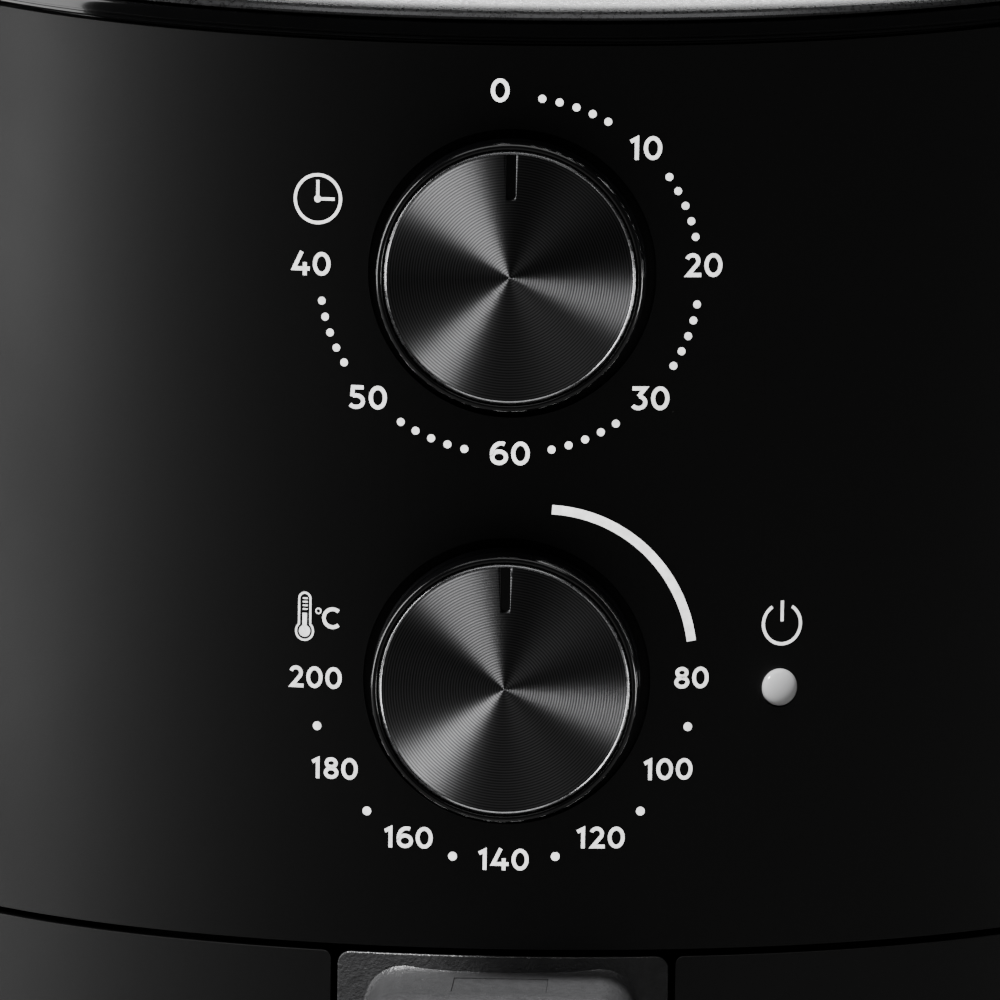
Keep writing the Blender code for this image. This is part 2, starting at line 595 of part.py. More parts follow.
def make_indicator():
    place = rad_to_front(LENS_ANGLE, 0) + Vector((0, 0, TEMPERATURE_Z - LENS_DROP))
    turn = (pi / 2, 0, LENS_ANGLE)
    inside = SHELL_INNER - 0.0045
    skirt = LENS_RADIUS - 0.0008
    dome = [(LENS_RADIUS * cos(a), BODY_RADIUS + 0.0004 + 0.0014 * sin(a)) for a in
            [radians(step * 22.5) for step in range(4)]]
    lens = [(0, inside + 0.003)] + [(skirt, inside + 0.003), (skirt, inside), (LENS_RADIUS, inside)] + dome
    lens += [(0, BODY_RADIUS + 0.0018)]
    turned("indicator_lens", lens, "milky_lens", 24, place, turn)
    lamp = [(0, inside - 0.014), (0.0024, inside - 0.014), (0.0024, inside + 0.001),
            (0.0012, inside + 0.0025), (0, inside + 0.0026)]
    turned("indicator_lamp", lamp, "clear_plastic", 16, place, turn)


# ---- cooking chamber -------------------------------------------------------------------------------
def make_chamber():
    outer = LINER_RADIUS + SHEET
    floor_radius = SHELL_INNER - 0.002
    meet = degrees(atan2(-sqrt(floor_radius ** 2 - outer ** 2), -outer))
    outline = arc_points((0, 0), outer, 0, 180, 24)
    outline += arc_points((0, 0), floor_radius, meet, -180 - meet, 16)
    liner = slab("chamber_liner", outline, LINER_Z, HOOD_Z - CLEARANCE, "aluminium")
    inner = arc_points((0, 0), LINER_RADIUS, 0, 180, 24) + [(-LINER_RADIUS, -BODY_RADIUS * 1.5),
                                                            (LINER_RADIUS, -BODY_RADIUS * 1.5)]
    cut(liner, slab("liner_space", inner, LINER_Z + SHEET, HOOD_Z + 0.01, None))
    for corner, angle in BASE_SCREW_ANGLES.items():
        place = rad_to_front(angle, SCREW_CIRCLE) + Vector((0, 0, LINER_Z))
        cut(liner, cutter_rod("liner_hole_" + corner, SCREW_RADIUS + CLEARANCE, 0.01, place))
    glide_top = PAN_FLOOR_Z - CLEARANCE
    for side, x in (("left", -0.055), ("right", 0.055)):
        box("glide_strip_" + side, (x - 0.004, -0.095, LINER_Z + SHEET + CLEARANCE),
            (x + 0.004, 0.07, glide_top),
            "white_plastic", bevel=0.0005)
    flange = SHELL_INNER - 0.0015
    shoulder = 0.005
    top = HOOD_TOP_Z
    profile = [(flange, HOOD_Z), (flange, HOOD_Z + SHEET), (HOOD_RADIUS + SHEET, HOOD_Z + SHEET),
               (HOOD_RADIUS + SHEET, top - shoulder), (HOOD_RADIUS + SHEET - shoulder, top),
               (MOTOR_SHAFT_RADIUS + 0.001, top), (MOTOR_SHAFT_RADIUS + 0.001, top - SHEET),
               (HOOD_RADIUS - shoulder, top - SHEET), (HOOD_RADIUS, top - SHEET - shoulder),
               (HOOD_RADIUS, HOOD_Z)]
    hood = turned("heating_hood", profile, "aluminium", MEDIUM)
    for side, end in (("left", element_end(0)), ("right", element_end(1))):
        cut(hood, cutter_rod("element_hole_" + side, ELEMENT_TUBE_RADIUS + 0.0006, 0.02,
                             Vector((end.x, end.y, HOOD_TOP_Z))))


def element_point(share):
    """A point on the flat spiral from its inner end, 0, to its outer end, 1."""
    angle = 2 * pi * ELEMENT_TURNS * share
    radius = ELEMENT_INNER_RADIUS + (ELEMENT_OUTER_RADIUS - ELEMENT_INNER_RADIUS) * share
    return Vector((radius * cos(angle), radius * sin(angle), ELEMENT_Z))


def element_end(which):
    """The middle of each end's upright, just past the end of the spiral."""
    bend = 0.007
    if which == 0:
        inner = element_point(0)
        return inner - (element_point(0.01) - inner).normalized() * bend
    outer = element_point(1)
    return outer + (outer - element_point(0.99)).normalized() * bend


def make_heater():
    steps = 54
    spiral = [element_point(step / steps) for step in range(steps + 1)]
    top_z = HOOD_TOP_Z + 0.005
    ends = []
    for which in (0, 1):
        upright = element_end(which)
        ends.append([Vector((upright.x, upright.y, top_z)),
                     Vector((upright.x, upright.y, ELEMENT_Z + 0.006)),
                     upright.lerp(spiral[-which], 0.3) + Vector((0, 0, 0.002))])
    tube_along("heating_element", ends[0] + spiral + list(reversed(ends[1])), ELEMENT_TUBE_RADIUS,
               "dark_steel", 1)
    for index, angle in enumerate((-20, 160)):
        low = ELEMENT_Z - ELEMENT_TUBE_RADIUS - CLEARANCE - SHEET
        inner = ELEMENT_INNER_RADIUS - 0.006
        outer = HOOD_RADIUS - 0.0065
        outline = [(inner, low), (outer + SHEET, low), (outer + SHEET, HOOD_TOP_Z - SHEET - CLEARANCE),
                   (outer, HOOD_TOP_Z - SHEET - CLEARANCE), (outer, low + SHEET), (inner, low + SHEET)]
        bracket = slab(f"element_bracket_{index + 1}", outline, -0.004, 0.004, "steel", plane="XZ")
        bracket.rotation_euler = (0, 0, radians(angle))


def impeller(name, radius, disc_z, blade_z, blades, finish):
    """A disc with upright blades on one side, and a hub with the shaft's bore."""
    sheet = 0.0014
    bore = MOTOR_SHAFT_RADIUS + CLEARANCE
    hub = 0.009
    low, high = sorted((disc_z + sheet / 2, blade_z))
    profile = [(0, disc_z), (radius, disc_z), (radius, disc_z + sheet), (0, disc_z + sheet)]
    fan = turned(name, profile, finish, 32)
    cut(join(fan, cutter_rod(name + "_hub", hub, high - low, (0, 0, (low + high) / 2))),
        cutter_rod(name + "_bore", bore, 0.06, (0, 0, low)))
    for index in range(blades):
        blade = cutter_box(f"{name}_blade_{index + 1}", (radius * 0.45, -0.0008, low),
                           (radius * 0.97, 0.0008, high))
        blade.rotation_euler = (0, 0, 2 * pi * (index + 0.5) / blades)
        join(fan, blade)
    return fan


def make_motor():
    shaft_low = HOOD_Z + 0.0235
    fan_disc = HOOD_TOP_Z - 0.006
    impeller("hot_air_fan", FAN_RADIUS, fan_disc, shaft_low + 0.003, 8, "aluminium")
    turned("fan_nut", [(MOTOR_SHAFT_RADIUS + CLEARANCE, shaft_low + 0.0002), (0.0055, shaft_low + 0.0002),
                       (0.0055, shaft_low + 0.0027),
                       (MOTOR_SHAFT_RADIUS + CLEARANCE, shaft_low + 0.0027)], "brass", 12)
    bracket_z = HOOD_TOP_Z + 0.024
    impeller("cooling_fan", COOLING_FAN_RADIUS, HOOD_TOP_Z + 0.006, HOOD_TOP_Z + 0.018, 9, "cream_plastic")
    leg = COOLING_FAN_RADIUS + 0.014
    outline = [(-leg, HOOD_TOP_Z + CLEARANCE), (-leg + 0.0015, HOOD_TOP_Z + CLEARANCE),
               (-leg + 0.0015, bracket_z),
               (leg - 0.0015, bracket_z), (leg - 0.0015, HOOD_TOP_Z + CLEARANCE),
               (leg, HOOD_TOP_Z + CLEARANCE),
               (leg, bracket_z + 0.0015), (-leg, bracket_z + 0.0015)]
    bracket = slab("motor_bracket", outline, -0.014, 0.014, "steel", plane="XZ")
    shaft_space = MOTOR_SHAFT_RADIUS + CLEARANCE
    cut(bracket, cutter_rod("bracket_bore", shaft_space + 0.001, 0.01, (0, 0, bracket_z)))
    stator_low = bracket_z + SMALL_SCREW_RADIUS + CLEARANCE
    stator_high = stator_low + STATOR_HEIGHT
    stator = box("motor_stator", (-0.030, -0.024, stator_low), (0.030, 0.050, stator_high), "dark_steel")
    cut(stator, cutter_rod("rotor_space", ROTOR_RADIUS + 0.0005, 0.05, (0, 0, stator_low), segments=32),
        cutter_box("coil_space", (-0.018, 0.024, stator_low - 0.01), (0.018, 0.041, stator_high + 0.01)))
    coil = box("motor_coil", (-0.0165, 0.0365, stator_low - 0.0035), (0.0165, 0.0545, stator_high + 0.0035),
               "copper", bevel=0.001)
    cut(coil, cutter_box("core_space", (-0.03, 0.041 - CLEARANCE, stator_low - CLEARANCE),
                         (0.03, 0.050 + CLEARANCE, stator_high + CLEARANCE)))
    turned("motor_rotor", [(shaft_space, stator_low + 0.001), (ROTOR_RADIUS, stator_low + 0.001),
                           (ROTOR_RADIUS, stator_high - 0.001),
                           (shaft_space, stator_high - 0.001)], "steel", 32)
    bridge_z = stator_high + 0.004
    bridge_outline = [(-0.029, stator_high + CLEARANCE), (-0.022, stator_high + CLEARANCE),
                      (-0.020, bridge_z),
                      (0.020, bridge_z), (0.022, stator_high + CLEARANCE), (0.029, stator_high + CLEARANCE),
                      (0.029, stator_high + CLEARANCE + SHEET), (0.023, stator_high + CLEARANCE + SHEET),
                      (0.021, bridge_z + SHEET), (-0.021, bridge_z + SHEET),
                      (-0.023, stator_high + CLEARANCE + SHEET),
                      (-0.029, stator_high + CLEARANCE + SHEET)]
    bridge = slab("upper_bearing_bridge", bridge_outline, -0.008, 0.008, "steel", plane="XZ")
    cut(bridge, cutter_rod("bridge_bore", shaft_space + 0.001, 0.01, (0, 0, bridge_z)))
    shaft_top = bridge_z + 0.006
    turned("motor_shaft", [(0, shaft_low - 0.001), (MOTOR_SHAFT_RADIUS, shaft_low - 0.001),
                           (MOTOR_SHAFT_RADIUS, shaft_top),
                           (0, shaft_top)], "steel", SMALL)


# ---- drawer ----------------------------------------------------------------------------------------
def make_drawer_front():
    bottom = BASE_TOP_Z + 0.0006
    half_angle = DRAWER_HALF_ANGLE
    edge = 0.0008
    profile = [(SHELL_INNER, bottom), (BODY_RADIUS - edge, bottom), (BODY_RADIUS, bottom + edge),
               (BODY_RADIUS, FRONT_TOP_Z - edge), (BODY_RADIUS - edge, FRONT_TOP_Z),
               (SHELL_INNER, FRONT_TOP_Z)]
    front = turned_arc("drawer_front", profile, half_angle, "matte_black", 22)
    post_rear = COVER_Y - CLEARANCE
    for name, x, z in cover_posts():
        post_front = -sqrt(SHELL_INNER ** 2 - x ** 2) - 0.001
        post = cutter_rod("post_" + name, POST_RADIUS, post_rear - post_front,
                          (x, (post_rear + post_front) / 2, z), ALONG_Y)
        bore = cutter_rod("post_bore_" + name, SMALL_SCREW_RADIUS + CLEARANCE, 0.016, (x, post_rear, z),
                          ALONG_Y, 12)
        join(front, post)
        cut(front, bore)
    pad = cutter_box("strike_pad", (-0.012, -SHELL_INNER - 0.001, STRIKE_LOW_Z - 0.002),
                     (0.012, STRIKE_FRONT_Y - CLEARANCE, STRIKE_PAD_TOP_Z))
    join(front, pad)
    half = HANDLE_BLOCK_WIDTH / 2 + HANDLE_GAP
    cut(front, cutter_box("handle_notch", (-half, -BODY_RADIUS * 1.5, BLOCK_BOTTOM_Z - HANDLE_GAP),
                          (half, BLOCK_REAR_Y + 0.02, SEAM_Z + 0.01)))


def cover_posts():
    middle = (PAN_FLOOR_Z + COVER_TOP_Z) / 2
    return [("left", -POST_X, middle), ("right", POST_X, middle)]


def make_drawer_cover():
    half_width = sqrt(SHELL_INNER ** 2 - COVER_Y ** 2) - 0.002
    low_z = PAN_FLOOR_Z + CLEARANCE
    cover = box("drawer_inner_cover", (-half_width, COVER_Y, low_z),
                (half_width, COVER_Y + COVER_THICKNESS, COVER_TOP_Z), "matte_black")
    for name, x, z in cover_posts():
        cut(cover, cutter_rod("cover_hole_" + name, SMALL_SCREW_RADIUS + CLEARANCE, 0.01, (x, COVER_Y, z),
                              ALONG_Y, 12))
        screw("cover_screw_" + name, (x, COVER_Y + COVER_THICKNESS + CLEARANCE, z), (-pi / 2, 0, 0), 0.009)
    bracket_low = 0.055
    bracket_high = 0.085
    bracket_front = COVER_Y + COVER_THICKNESS + CLEARANCE
    bracket = box("pan_bracket", (-0.040, bracket_front, bracket_low),
                  (0.040, -PAN_RADIUS + 0.023, bracket_high), "steel")
    cut(bracket, cutter_rod("pan_surface", PAN_RADIUS + CLEARANCE, 0.1,
                            (0, 0, (bracket_low + bracket_high) / 2), segments=MEDIUM * 2))


def make_pan():
    wall = SHEET
    rim = PAN_RADIUS + 0.0025
    profile = [(0, PAN_FLOOR_Z), (PAN_RADIUS - 0.008, PAN_FLOOR_Z), (PAN_RADIUS, PAN_FLOOR_Z + 0.008),
               (PAN_RADIUS, PAN_TOP_Z - 0.0015),
               (rim, PAN_TOP_Z - 0.0015), (rim, PAN_TOP_Z), (PAN_RADIUS - wall, PAN_TOP_Z),
               (PAN_RADIUS - wall, PAN_FLOOR_Z + 0.0085), (PAN_RADIUS - 0.0085, PAN_FLOOR_Z + wall),
               (0, PAN_FLOOR_Z + wall)]
    turned("drawer_pan", profile, "coated_black", MEDIUM)


def make_basket():
    wall = BASKET_WALL
    flange = PAN_RADIUS + 0.001
    seat = BASKET_SEAT_Z
    outer = BASKET_RADIUS
    profile = [(0, BASKET_FLOOR_Z), (outer - 0.006, BASKET_FLOOR_Z), (outer, BASKET_FLOOR_Z + 0.006),
               (outer, seat), (flange, seat),
               (flange, seat + wall), (outer, seat + wall), (outer, BASKET_TOP_Z),
               (outer - wall, BASKET_TOP_Z),
               (outer - wall, BASKET_FLOOR_Z + 0.0065), (outer - 0.0065, BASKET_FLOOR_Z + wall),
               (0, BASKET_FLOOR_Z + wall)]
    basket = turned("basket", profile, "coated_black", MEDIUM)
    slots = 8
    for index in range(slots):
        slot = cutter_box(f"basket_slot_{index + 1}", (0.030, -0.003, BASKET_FLOOR_Z - 0.005),
                          (0.080, 0.003, BASKET_FLOOR_Z + 0.01))
        slot.rotation_euler = (0, 0, 2 * pi * (index + 0.5) / slots)
        cut(basket, slot)
    strap_low = seat + wall + CLEARANCE
    strap_high = strap_low + 0.0015
    tab_front = BLOCK_REAR_Y + CLEARANCE
    tab_low = strap_low - 0.016
    strap_rear = -BASKET_RADIUS + 0.013
    # side view of one strap: an upright tab on the block, then a run back to the basket
    outline = [(tab_front, tab_low), (tab_front + 0.0015, tab_low), (tab_front + 0.0015, strap_low),
               (strap_rear, strap_low), (strap_rear, strap_high), (tab_front, strap_high)]
    bracket = slab("basket_bracket", outline, -0.028, 0.028, "steel", plane="YZ")
    cut(bracket, cutter_box("latch_space", (-0.014, -BODY_RADIUS * 1.5, tab_low - 0.01),
                            (0.014, BLOCK_REAR_Y + 0.014, strap_high + 0.01)),
        cutter_rod("basket_surface", BASKET_RADIUS + CLEARANCE, 0.1, (0, 0, strap_low),
                   segments=MEDIUM * 2))
    screw_z = tab_low + 0.006
    for side, x in HANDLE_SCREWS:
        cut(bracket, cutter_rod("bracket_screw_hole_" + side, SMALL_SCREW_RADIUS + CLEARANCE, 0.01,
                                (x, tab_front, screw_z), ALONG_Y, 12))
        screw("handle_screw_" + side, (x, tab_front + SMALL_SCREW_RADIUS + CLEARANCE, screw_z),
              (-pi / 2, 0, 0), 0.0075)
    return screw_z


def make_handle(screw_z):
    half = HANDLE_BLOCK_WIDTH / 2
    turn = degrees(asin(half / BODY_RADIUS))
    plan = arc_points((0, 0), BODY_RADIUS, -90 - turn, -90 + turn, 8)
    plan += [(half, BLOCK_REAR_Y), (-half, BLOCK_REAR_Y)]
    block = slab("basket_handle", plan, BLOCK_BOTTOM_Z, BLOCK_TOP_Z, "satin_grey")
    corner = HANDLE_BLOCK_CORNER
    low, high = BLOCK_BOTTOM_Z + corner, BLOCK_TOP_Z - corner
    rounded = arc_points((half - corner, high), corner, 0, 90, 4)
    rounded += arc_points((-half + corner, high), corner, 90, 180, 4)
    rounded += arc_points((-half + corner, low), corner, 180, 270, 4)
    rounded += arc_points((half - corner, low), corner, 270, 360, 4)
    outline = slab("block_outline", rounded, BLOCK_REAR_Y - 0.08, BLOCK_REAR_Y + 0.08, None, plane="XZ")
    combine(block, outline, "INTERSECT")
    front = GRIP_FRONT_Y
    inner = front + GRIP_THICKNESS
    end_z = ARM_TOP_Z - GRIP_LENGTH
    root = -BODY_RADIUS + HANDLE_BLOCK_DEPTH / 2
    side = [(root, ARM_TOP_Z)]
    side += arc_points((front + GRIP_NOSE, ARM_TOP_Z - GRIP_NOSE), GRIP_NOSE, 90, 180, 5)
    side += arc_points((front + GRIP_TIP, end_z + GRIP_TIP), GRIP_TIP, 180, 270, 4)
    side += arc_points((inner - GRIP_TIP, end_z + GRIP_TIP), GRIP_TIP, 270, 360, 4)
    side += arc_points((inner + GRIP_THROAT, ARM_BOTTOM_Z - GRIP_THROAT), GRIP_THROAT, 180, 90, 5)
    side += [(root, ARM_BOTTOM_Z)]
    grip = slab("handle_grip_shape", side, -GRIP_WIDTH / 2, GRIP_WIDTH / 2, None, plane="YZ", bevel=0.004)
    join(block, grip)
    wide = BUTTON_HALF_WIDTH + BUTTON_GAP
    long = BUTTON_HALF_LENGTH + BUTTON_GAP
    pocket_low = BUTTON_TOP_Z - BUTTON_HEAD - BUTTON_TRAVEL - 2 * CLEARANCE
    cut(block,
        cutter_box("button_pocket", (-wide, BUTTON_Y - long, pocket_low),
                   (wide, BUTTON_Y + long, ARM_TOP_Z + OVERCUT)),
        cutter_box("latch_channel", (-CHANNEL_HALF_WIDTH, BUTTON_Y - long, LATCH_PIN_Z - CHANNEL_DEPTH),
                   (CHANNEL_HALF_WIDTH, BLOCK_REAR_Y + OVERCUT, LATCH_PIN_Z + 0.005)),
        cutter_rod("pin_bore", LATCH_PIN_RADIUS + CLEARANCE, 0.022, (0, LATCH_PIN_Y, LATCH_PIN_Z), ALONG_X))
    for name, x in HANDLE_SCREWS:
        cut(block, cutter_rod("handle_screw_bore_" + name, SMALL_SCREW_RADIUS + CLEARANCE, 0.014,
                              (x, BLOCK_REAR_Y, screw_z), ALONG_Y))


def make_release():
    """Press button, the bell-crank latch, its pin and spring, and the strike plate."""
    lever_top = LATCH_PIN_Z + LEVER_HEIGHT / 2
    lever_low = LATCH_PIN_Z - LEVER_HEIGHT / 2
    button = box("release_button",
                 (-BUTTON_HALF_WIDTH, BUTTON_Y - BUTTON_HALF_LENGTH, BUTTON_TOP_Z - BUTTON_HEAD),
                 (BUTTON_HALF_WIDTH, BUTTON_Y + BUTTON_HALF_LENGTH, BUTTON_TOP_Z), "satin_grey", bevel=0.0006)
    stem_low = lever_top + CLEARANCE
    join(button, cutter_box("button_stem", (-STEM_HALF_WIDTH, BUTTON_Y - STEM_REACH, stem_low),
                            (STEM_HALF_WIDTH, BUTTON_Y, BUTTON_TOP_Z - 0.001)))
    arm_front = BUTTON_Y - 0.0045
    drop_front = STRIKE_FRONT_Y + STRIKE_SHEET + 2 * CLEARANCE
    drop_rear = drop_front + 0.0025
    hook_front = STRIKE_FRONT_Y + 0.0002
    boss = 0.0032
    outline = [(arm_front, lever_low), (LATCH_PIN_Y - boss - 0.0002, lever_low)]
    outline += arc_points((LATCH_PIN_Y, LATCH_PIN_Z), boss, 208, 300, 5)
    outline += [(drop_front, lever_low), (drop_front, HOOK_Z + HOOK_HEIGHT),
                (hook_front, HOOK_Z + HOOK_HEIGHT),
                (hook_front, HOOK_Z + 0.001), (drop_front, HOOK_Z), (drop_rear, HOOK_Z),
                (drop_rear, lever_top),
                (arm_front, lever_top)]
    latch = slab("release_latch", outline, -LATCH_HALF_WIDTH, LATCH_HALF_WIDTH, "steel", plane="YZ")
    pivot = (0, LATCH_PIN_Y, LATCH_PIN_Z)
    join(latch, cutter_rod("latch_boss", boss, 2 * LATCH_HALF_WIDTH, pivot, ALONG_X, ROUND))
    cut(latch, cutter_rod("latch_bore", LATCH_PIN_RADIUS + 0.00009, 0.02, pivot, ALONG_X, ROUND))
    pin_half = 0.0105
    pin_radius = LATCH_PIN_RADIUS - 0.00005
    turned("latch_pin", [(0, -pin_half), (pin_radius, -pin_half), (pin_radius, pin_half), (0, pin_half)],
           "steel", ROUND, pivot, ALONG_X)
    spring_low = LATCH_PIN_Z - CHANNEL_DEPTH + CLEARANCE
    spring_high = lever_low - CLEARANCE
    climb = spring_high - spring_low - 2 * SPRING_WIRE
    per_turn = 8
    steps = SPRING_TURNS * per_turn
    coil = []
    for step in range(steps + 1):
        angle = 2 * pi * step / per_turn
        coil.append(Vector((SPRING_RADIUS * cos(angle), BUTTON_Y + SPRING_RADIUS * sin(angle),
                            spring_low + SPRING_WIRE + climb * step / steps)))
    tube_along("latch_spring", coil, SPRING_WIRE, "steel", 0)
    strike = box("strike_plate", (-0.009, STRIKE_FRONT_Y, STRIKE_LOW_Z),
                 (0.009, STRIKE_FRONT_Y + STRIKE_SHEET, LATCH_PIN_Z - 0.006), "steel")
    cut(strike, cutter_box("strike_window", (-0.006, STRIKE_FRONT_Y - 0.05, HOOK_Z - 0.0012),
                           (0.006, STRIKE_FRONT_Y + 0.05, HOOK_Z + HOOK_HEIGHT + 0.0015)))


def main():
    clear_scene()
    axis = bpy.data.objects.new("air_fryer_axis", None)
    bpy.context.collection.objects.link(axis)
    axis.location = (0, BODY_Y, 0)
    make_base()
    make_cord_gland()
    make_outer_shell()
    make_rear_vent()
    make_lid()
    make_dials()
    make_indicator()
    make_chamber()
    make_heater()
    make_motor()
    make_drawer_front()
    make_drawer_cover()
    make_pan()
    make_handle(make_basket())
    make_release()


main()
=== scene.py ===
"""Round two-dial air fryer: the visible pieces, their finishes and a plain studio.

Every size is in metres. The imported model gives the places, and the drum's axis is the reference for all
turned pieces. Each operator makes one piece, or one group of like pieces, on the body that it moves with.
"""
from math import asin, atan2, cos, pi, radians, sin, sqrt, tan

import bmesh
import bpy
from mathutils import Matrix, Vector


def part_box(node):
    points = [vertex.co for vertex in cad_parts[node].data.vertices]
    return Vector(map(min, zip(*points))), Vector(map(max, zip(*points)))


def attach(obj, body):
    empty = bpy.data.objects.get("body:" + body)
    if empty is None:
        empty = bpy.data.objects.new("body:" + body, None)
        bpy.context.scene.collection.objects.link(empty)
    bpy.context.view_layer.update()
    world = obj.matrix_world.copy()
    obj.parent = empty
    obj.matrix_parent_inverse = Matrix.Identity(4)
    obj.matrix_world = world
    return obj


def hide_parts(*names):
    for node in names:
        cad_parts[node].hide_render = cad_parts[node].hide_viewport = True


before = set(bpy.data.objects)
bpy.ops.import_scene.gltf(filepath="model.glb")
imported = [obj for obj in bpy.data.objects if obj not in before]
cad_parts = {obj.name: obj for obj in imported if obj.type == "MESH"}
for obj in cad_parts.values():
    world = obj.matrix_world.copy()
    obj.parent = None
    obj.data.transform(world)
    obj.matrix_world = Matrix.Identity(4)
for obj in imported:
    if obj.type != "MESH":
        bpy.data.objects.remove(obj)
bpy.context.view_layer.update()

bl_info = {
    "name": "Round air fryer",
    "version": (1, 0, 0),
    "blender": (4, 5, 0),
    "location": "3D View > Sidebar > Air fryer",
    "description": "Builds the visible pieces of a round two-dial air fryer round its packed frame",
    "category": "Add Mesh",
}


# ---- places that come from the frame ----------------------------------------------------------------
def middle(node):
    low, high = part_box(node)
    return (low + high) / 2


SHELL_LOW, SHELL_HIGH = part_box("outer_shell")
AXIS_Y = middle("outer_shell").y
RADIUS = (SHELL_HIGH.x - SHELL_LOW.x) / 2
FRONT_Y = AXIS_Y - RADIUS
LID_SLOPE = radians(6.0)
LID_FRONT_Z = SHELL_HIGH.z - 2 * RADIUS * tan(LID_SLOPE)
DOOR_LOW, DOOR_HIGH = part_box("drawer_front")
BLOCK_LOW, BLOCK_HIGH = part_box("basket_handle")
TIMER_Z = middle("timer_knob").z
TEMPERATURE_Z = middle("temperature_knob").z
KNOB_LOW, KNOB_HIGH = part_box("timer_knob")
FACE_LOW, FACE_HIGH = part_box("timer_knob_face")
LENS = middle("indicator_lens")
LENS_TURN = atan2(LENS.x, AXIS_Y - LENS.y)
BLOCK_NOTCH_Z = BLOCK_HIGH.z - 0.0646
GRILLE_LOW, GRILLE_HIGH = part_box("exhaust_grille")
HOLE_GAP = 0.0003
OVERCUT = 0.01
GLAND_HOLE_RADIUS = 0.0063
GRILLE_SLOTS = 5
POST_X, POST_RADIUS = 0.052, 0.004
SCREW_THREAD = 0.0008
BUTTON_DROP = 0.001
FACET_SLOPE = tan(radians(17.0))


def length(name, default, description):
    return bpy.props.FloatProperty(name=name, description=description, default=default, min=0.0,
                                   subtype="DISTANCE", unit="LENGTH")


def colour(name, default, description):
    return bpy.props.FloatVectorProperty(name=name, description=description, default=default, size=3,
                                         min=0.0, max=1.0, subtype="COLOR")


class FryerSizes(bpy.types.PropertyGroup):
    wall: length("Shell wall", 0.003, "Thickness of the drum's wall")
    shell_edge: length("Shell edge", 0.0004, "Rounding of the drum's cut edges")
    well_radius: length("Well radius", 0.0276, "Radius of the round recess behind each knob")
    well_depth: length("Well depth", 0.0045, "Depth of each recess at the drum's middle line")
    well_floor: length("Well floor", 0.002, "Thickness of the recess's floor and wall")
    bush_radius: length("Bush radius", 0.005, "Radius of the threaded bush of each dial")
    seam_gap: length("Seam gap", 0.0014, "Gap between the drum and the drawer front")
    lens_radius: length("Lens radius", 0.0036, "Radius of the lamp's dome")
    band_height: length("Band height", 0.0042, "Height of the polished band under the lid's ring")
    trim_width: length("Ring width", 0.019, "Width of the grey ring on the lid")
    trim_height: length("Ring height", 0.0025, "Height of the grey ring on the lid")
    panel_recess: length("Lid recess", 0.003, "How far the lid's middle lies below its ring")
    block_width: length("Handle block width", 0.064, "Width of the handle's block in the drawer front")
    block_corner: length("Handle block corner", 0.0025, "Corner rounding of the handle's block")
    handle_gap: length("Handle gap", 0.0013, "Gap between the block and the drawer front")
    grip_corner: length("Grip corner", 0.0072, "Corner rounding of the grip's section")
    groove_pitch: length("Groove pitch", 0.00052, "Distance between two grooves on a spun knob face")
    print_height: length("Print height", 0.00004, "Thickness of the printed marks")


class FryerColours(bpy.types.PropertyGroup):
    body: colour("Body", (0.004, 0.004, 0.0043), "Matte black of the drum")
    gloss: colour("Gloss", (0.004, 0.004, 0.0045), "Polished black")
    handle: colour("Handle", (0.03, 0.03, 0.031), "Grained graphite of the handle")
    ring: colour("Ring", (0.2, 0.2, 0.205), "Grey ring of the lid")
    face: colour("Knob face", (0.045, 0.045, 0.046), "Dark spun metal")
    marks: colour("Marks", (0.9, 0.9, 0.9), "Printed scales and symbols")
    floor: colour("Floor", (0.62, 0.62, 0.61), "Studio floor")


# ---- modelling helpers ------------------------------------------------------------------------------
def deselect():
    for item in bpy.context.selected_objects:
        item.select_set(False)


def pick(*pieces):
    """Select only these pieces; the first is the active one."""
    deselect()
    for piece in pieces:
        piece.select_set(True)
    bpy.context.view_layer.objects.active = pieces[0]
    return pieces[0]


def added(name):
    """Name the primitive that was just added, and settle its place into its mesh."""
    piece = bpy.context.active_object
    piece.name = name
    piece.data.name = name
    bpy.ops.object.transform_apply(location=True, rotation=True, scale=True)
    return piece


def settle(piece):
    pick(piece)
    bpy.ops.object.transform_apply(location=True, rotation=True, scale=True)
    return piece


def cylinder(name, radius, low, high, vertices=64, centre=(0.0, None)):
    deselect()
    x, y = centre[0], AXIS_Y if centre[1] is None else centre[1]
    bpy.ops.mesh.primitive_cylinder_add(vertices=vertices, radius=radius, depth=high - low,
                                        location=(x, y, (low + high) / 2))
    return added(name)


def rod(name, radius, start, end, vertices=48):
    """A cylinder from one point to another."""
    start, end = Vector(start), Vector(end)
    deselect()
    turn = (end - start).to_track_quat("Z", "Y").to_euler()
    bpy.ops.mesh.primitive_cylinder_add(vertices=vertices, radius=radius, depth=(end - start).length,
                                        location=(start + end) / 2, rotation=turn)
    return added(name)


def block(name, low, high):
    low, high = Vector(low), Vector(high)
    deselect()
    bpy.ops.mesh.primitive_cube_add(size=1, location=(low + high) / 2, scale=high - low)
    return added(name)


def modified(piece, kind, **settings):
    """Add one modifier and apply it."""
    pick(piece)
    change = piece.modifiers.new(kind.lower(), kind)
    for key, value in settings.items():
        setattr(change, key, value)
    bpy.ops.object.modifier_apply(modifier=change.name)
    return piece


def boolean(piece, operation, *tools):
    for tool in tools:
        modified(piece, "BOOLEAN", operation=operation, solver="EXACT", object=tool)
        bpy.data.objects.remove(tool, do_unlink=True)
    return piece


def cut(piece, *tools):
    return boolean(piece, "DIFFERENCE", *tools)


def weld(piece, *tools):
    return boolean(piece, "UNION", *tools)


def bevelled(piece, width, segments=3, angle=30.0):
    return modified(piece, "BEVEL", width=width, segments=segments, limit_method="ANGLE",
                    angle_limit=radians(angle), use_clamp_overlap=True)


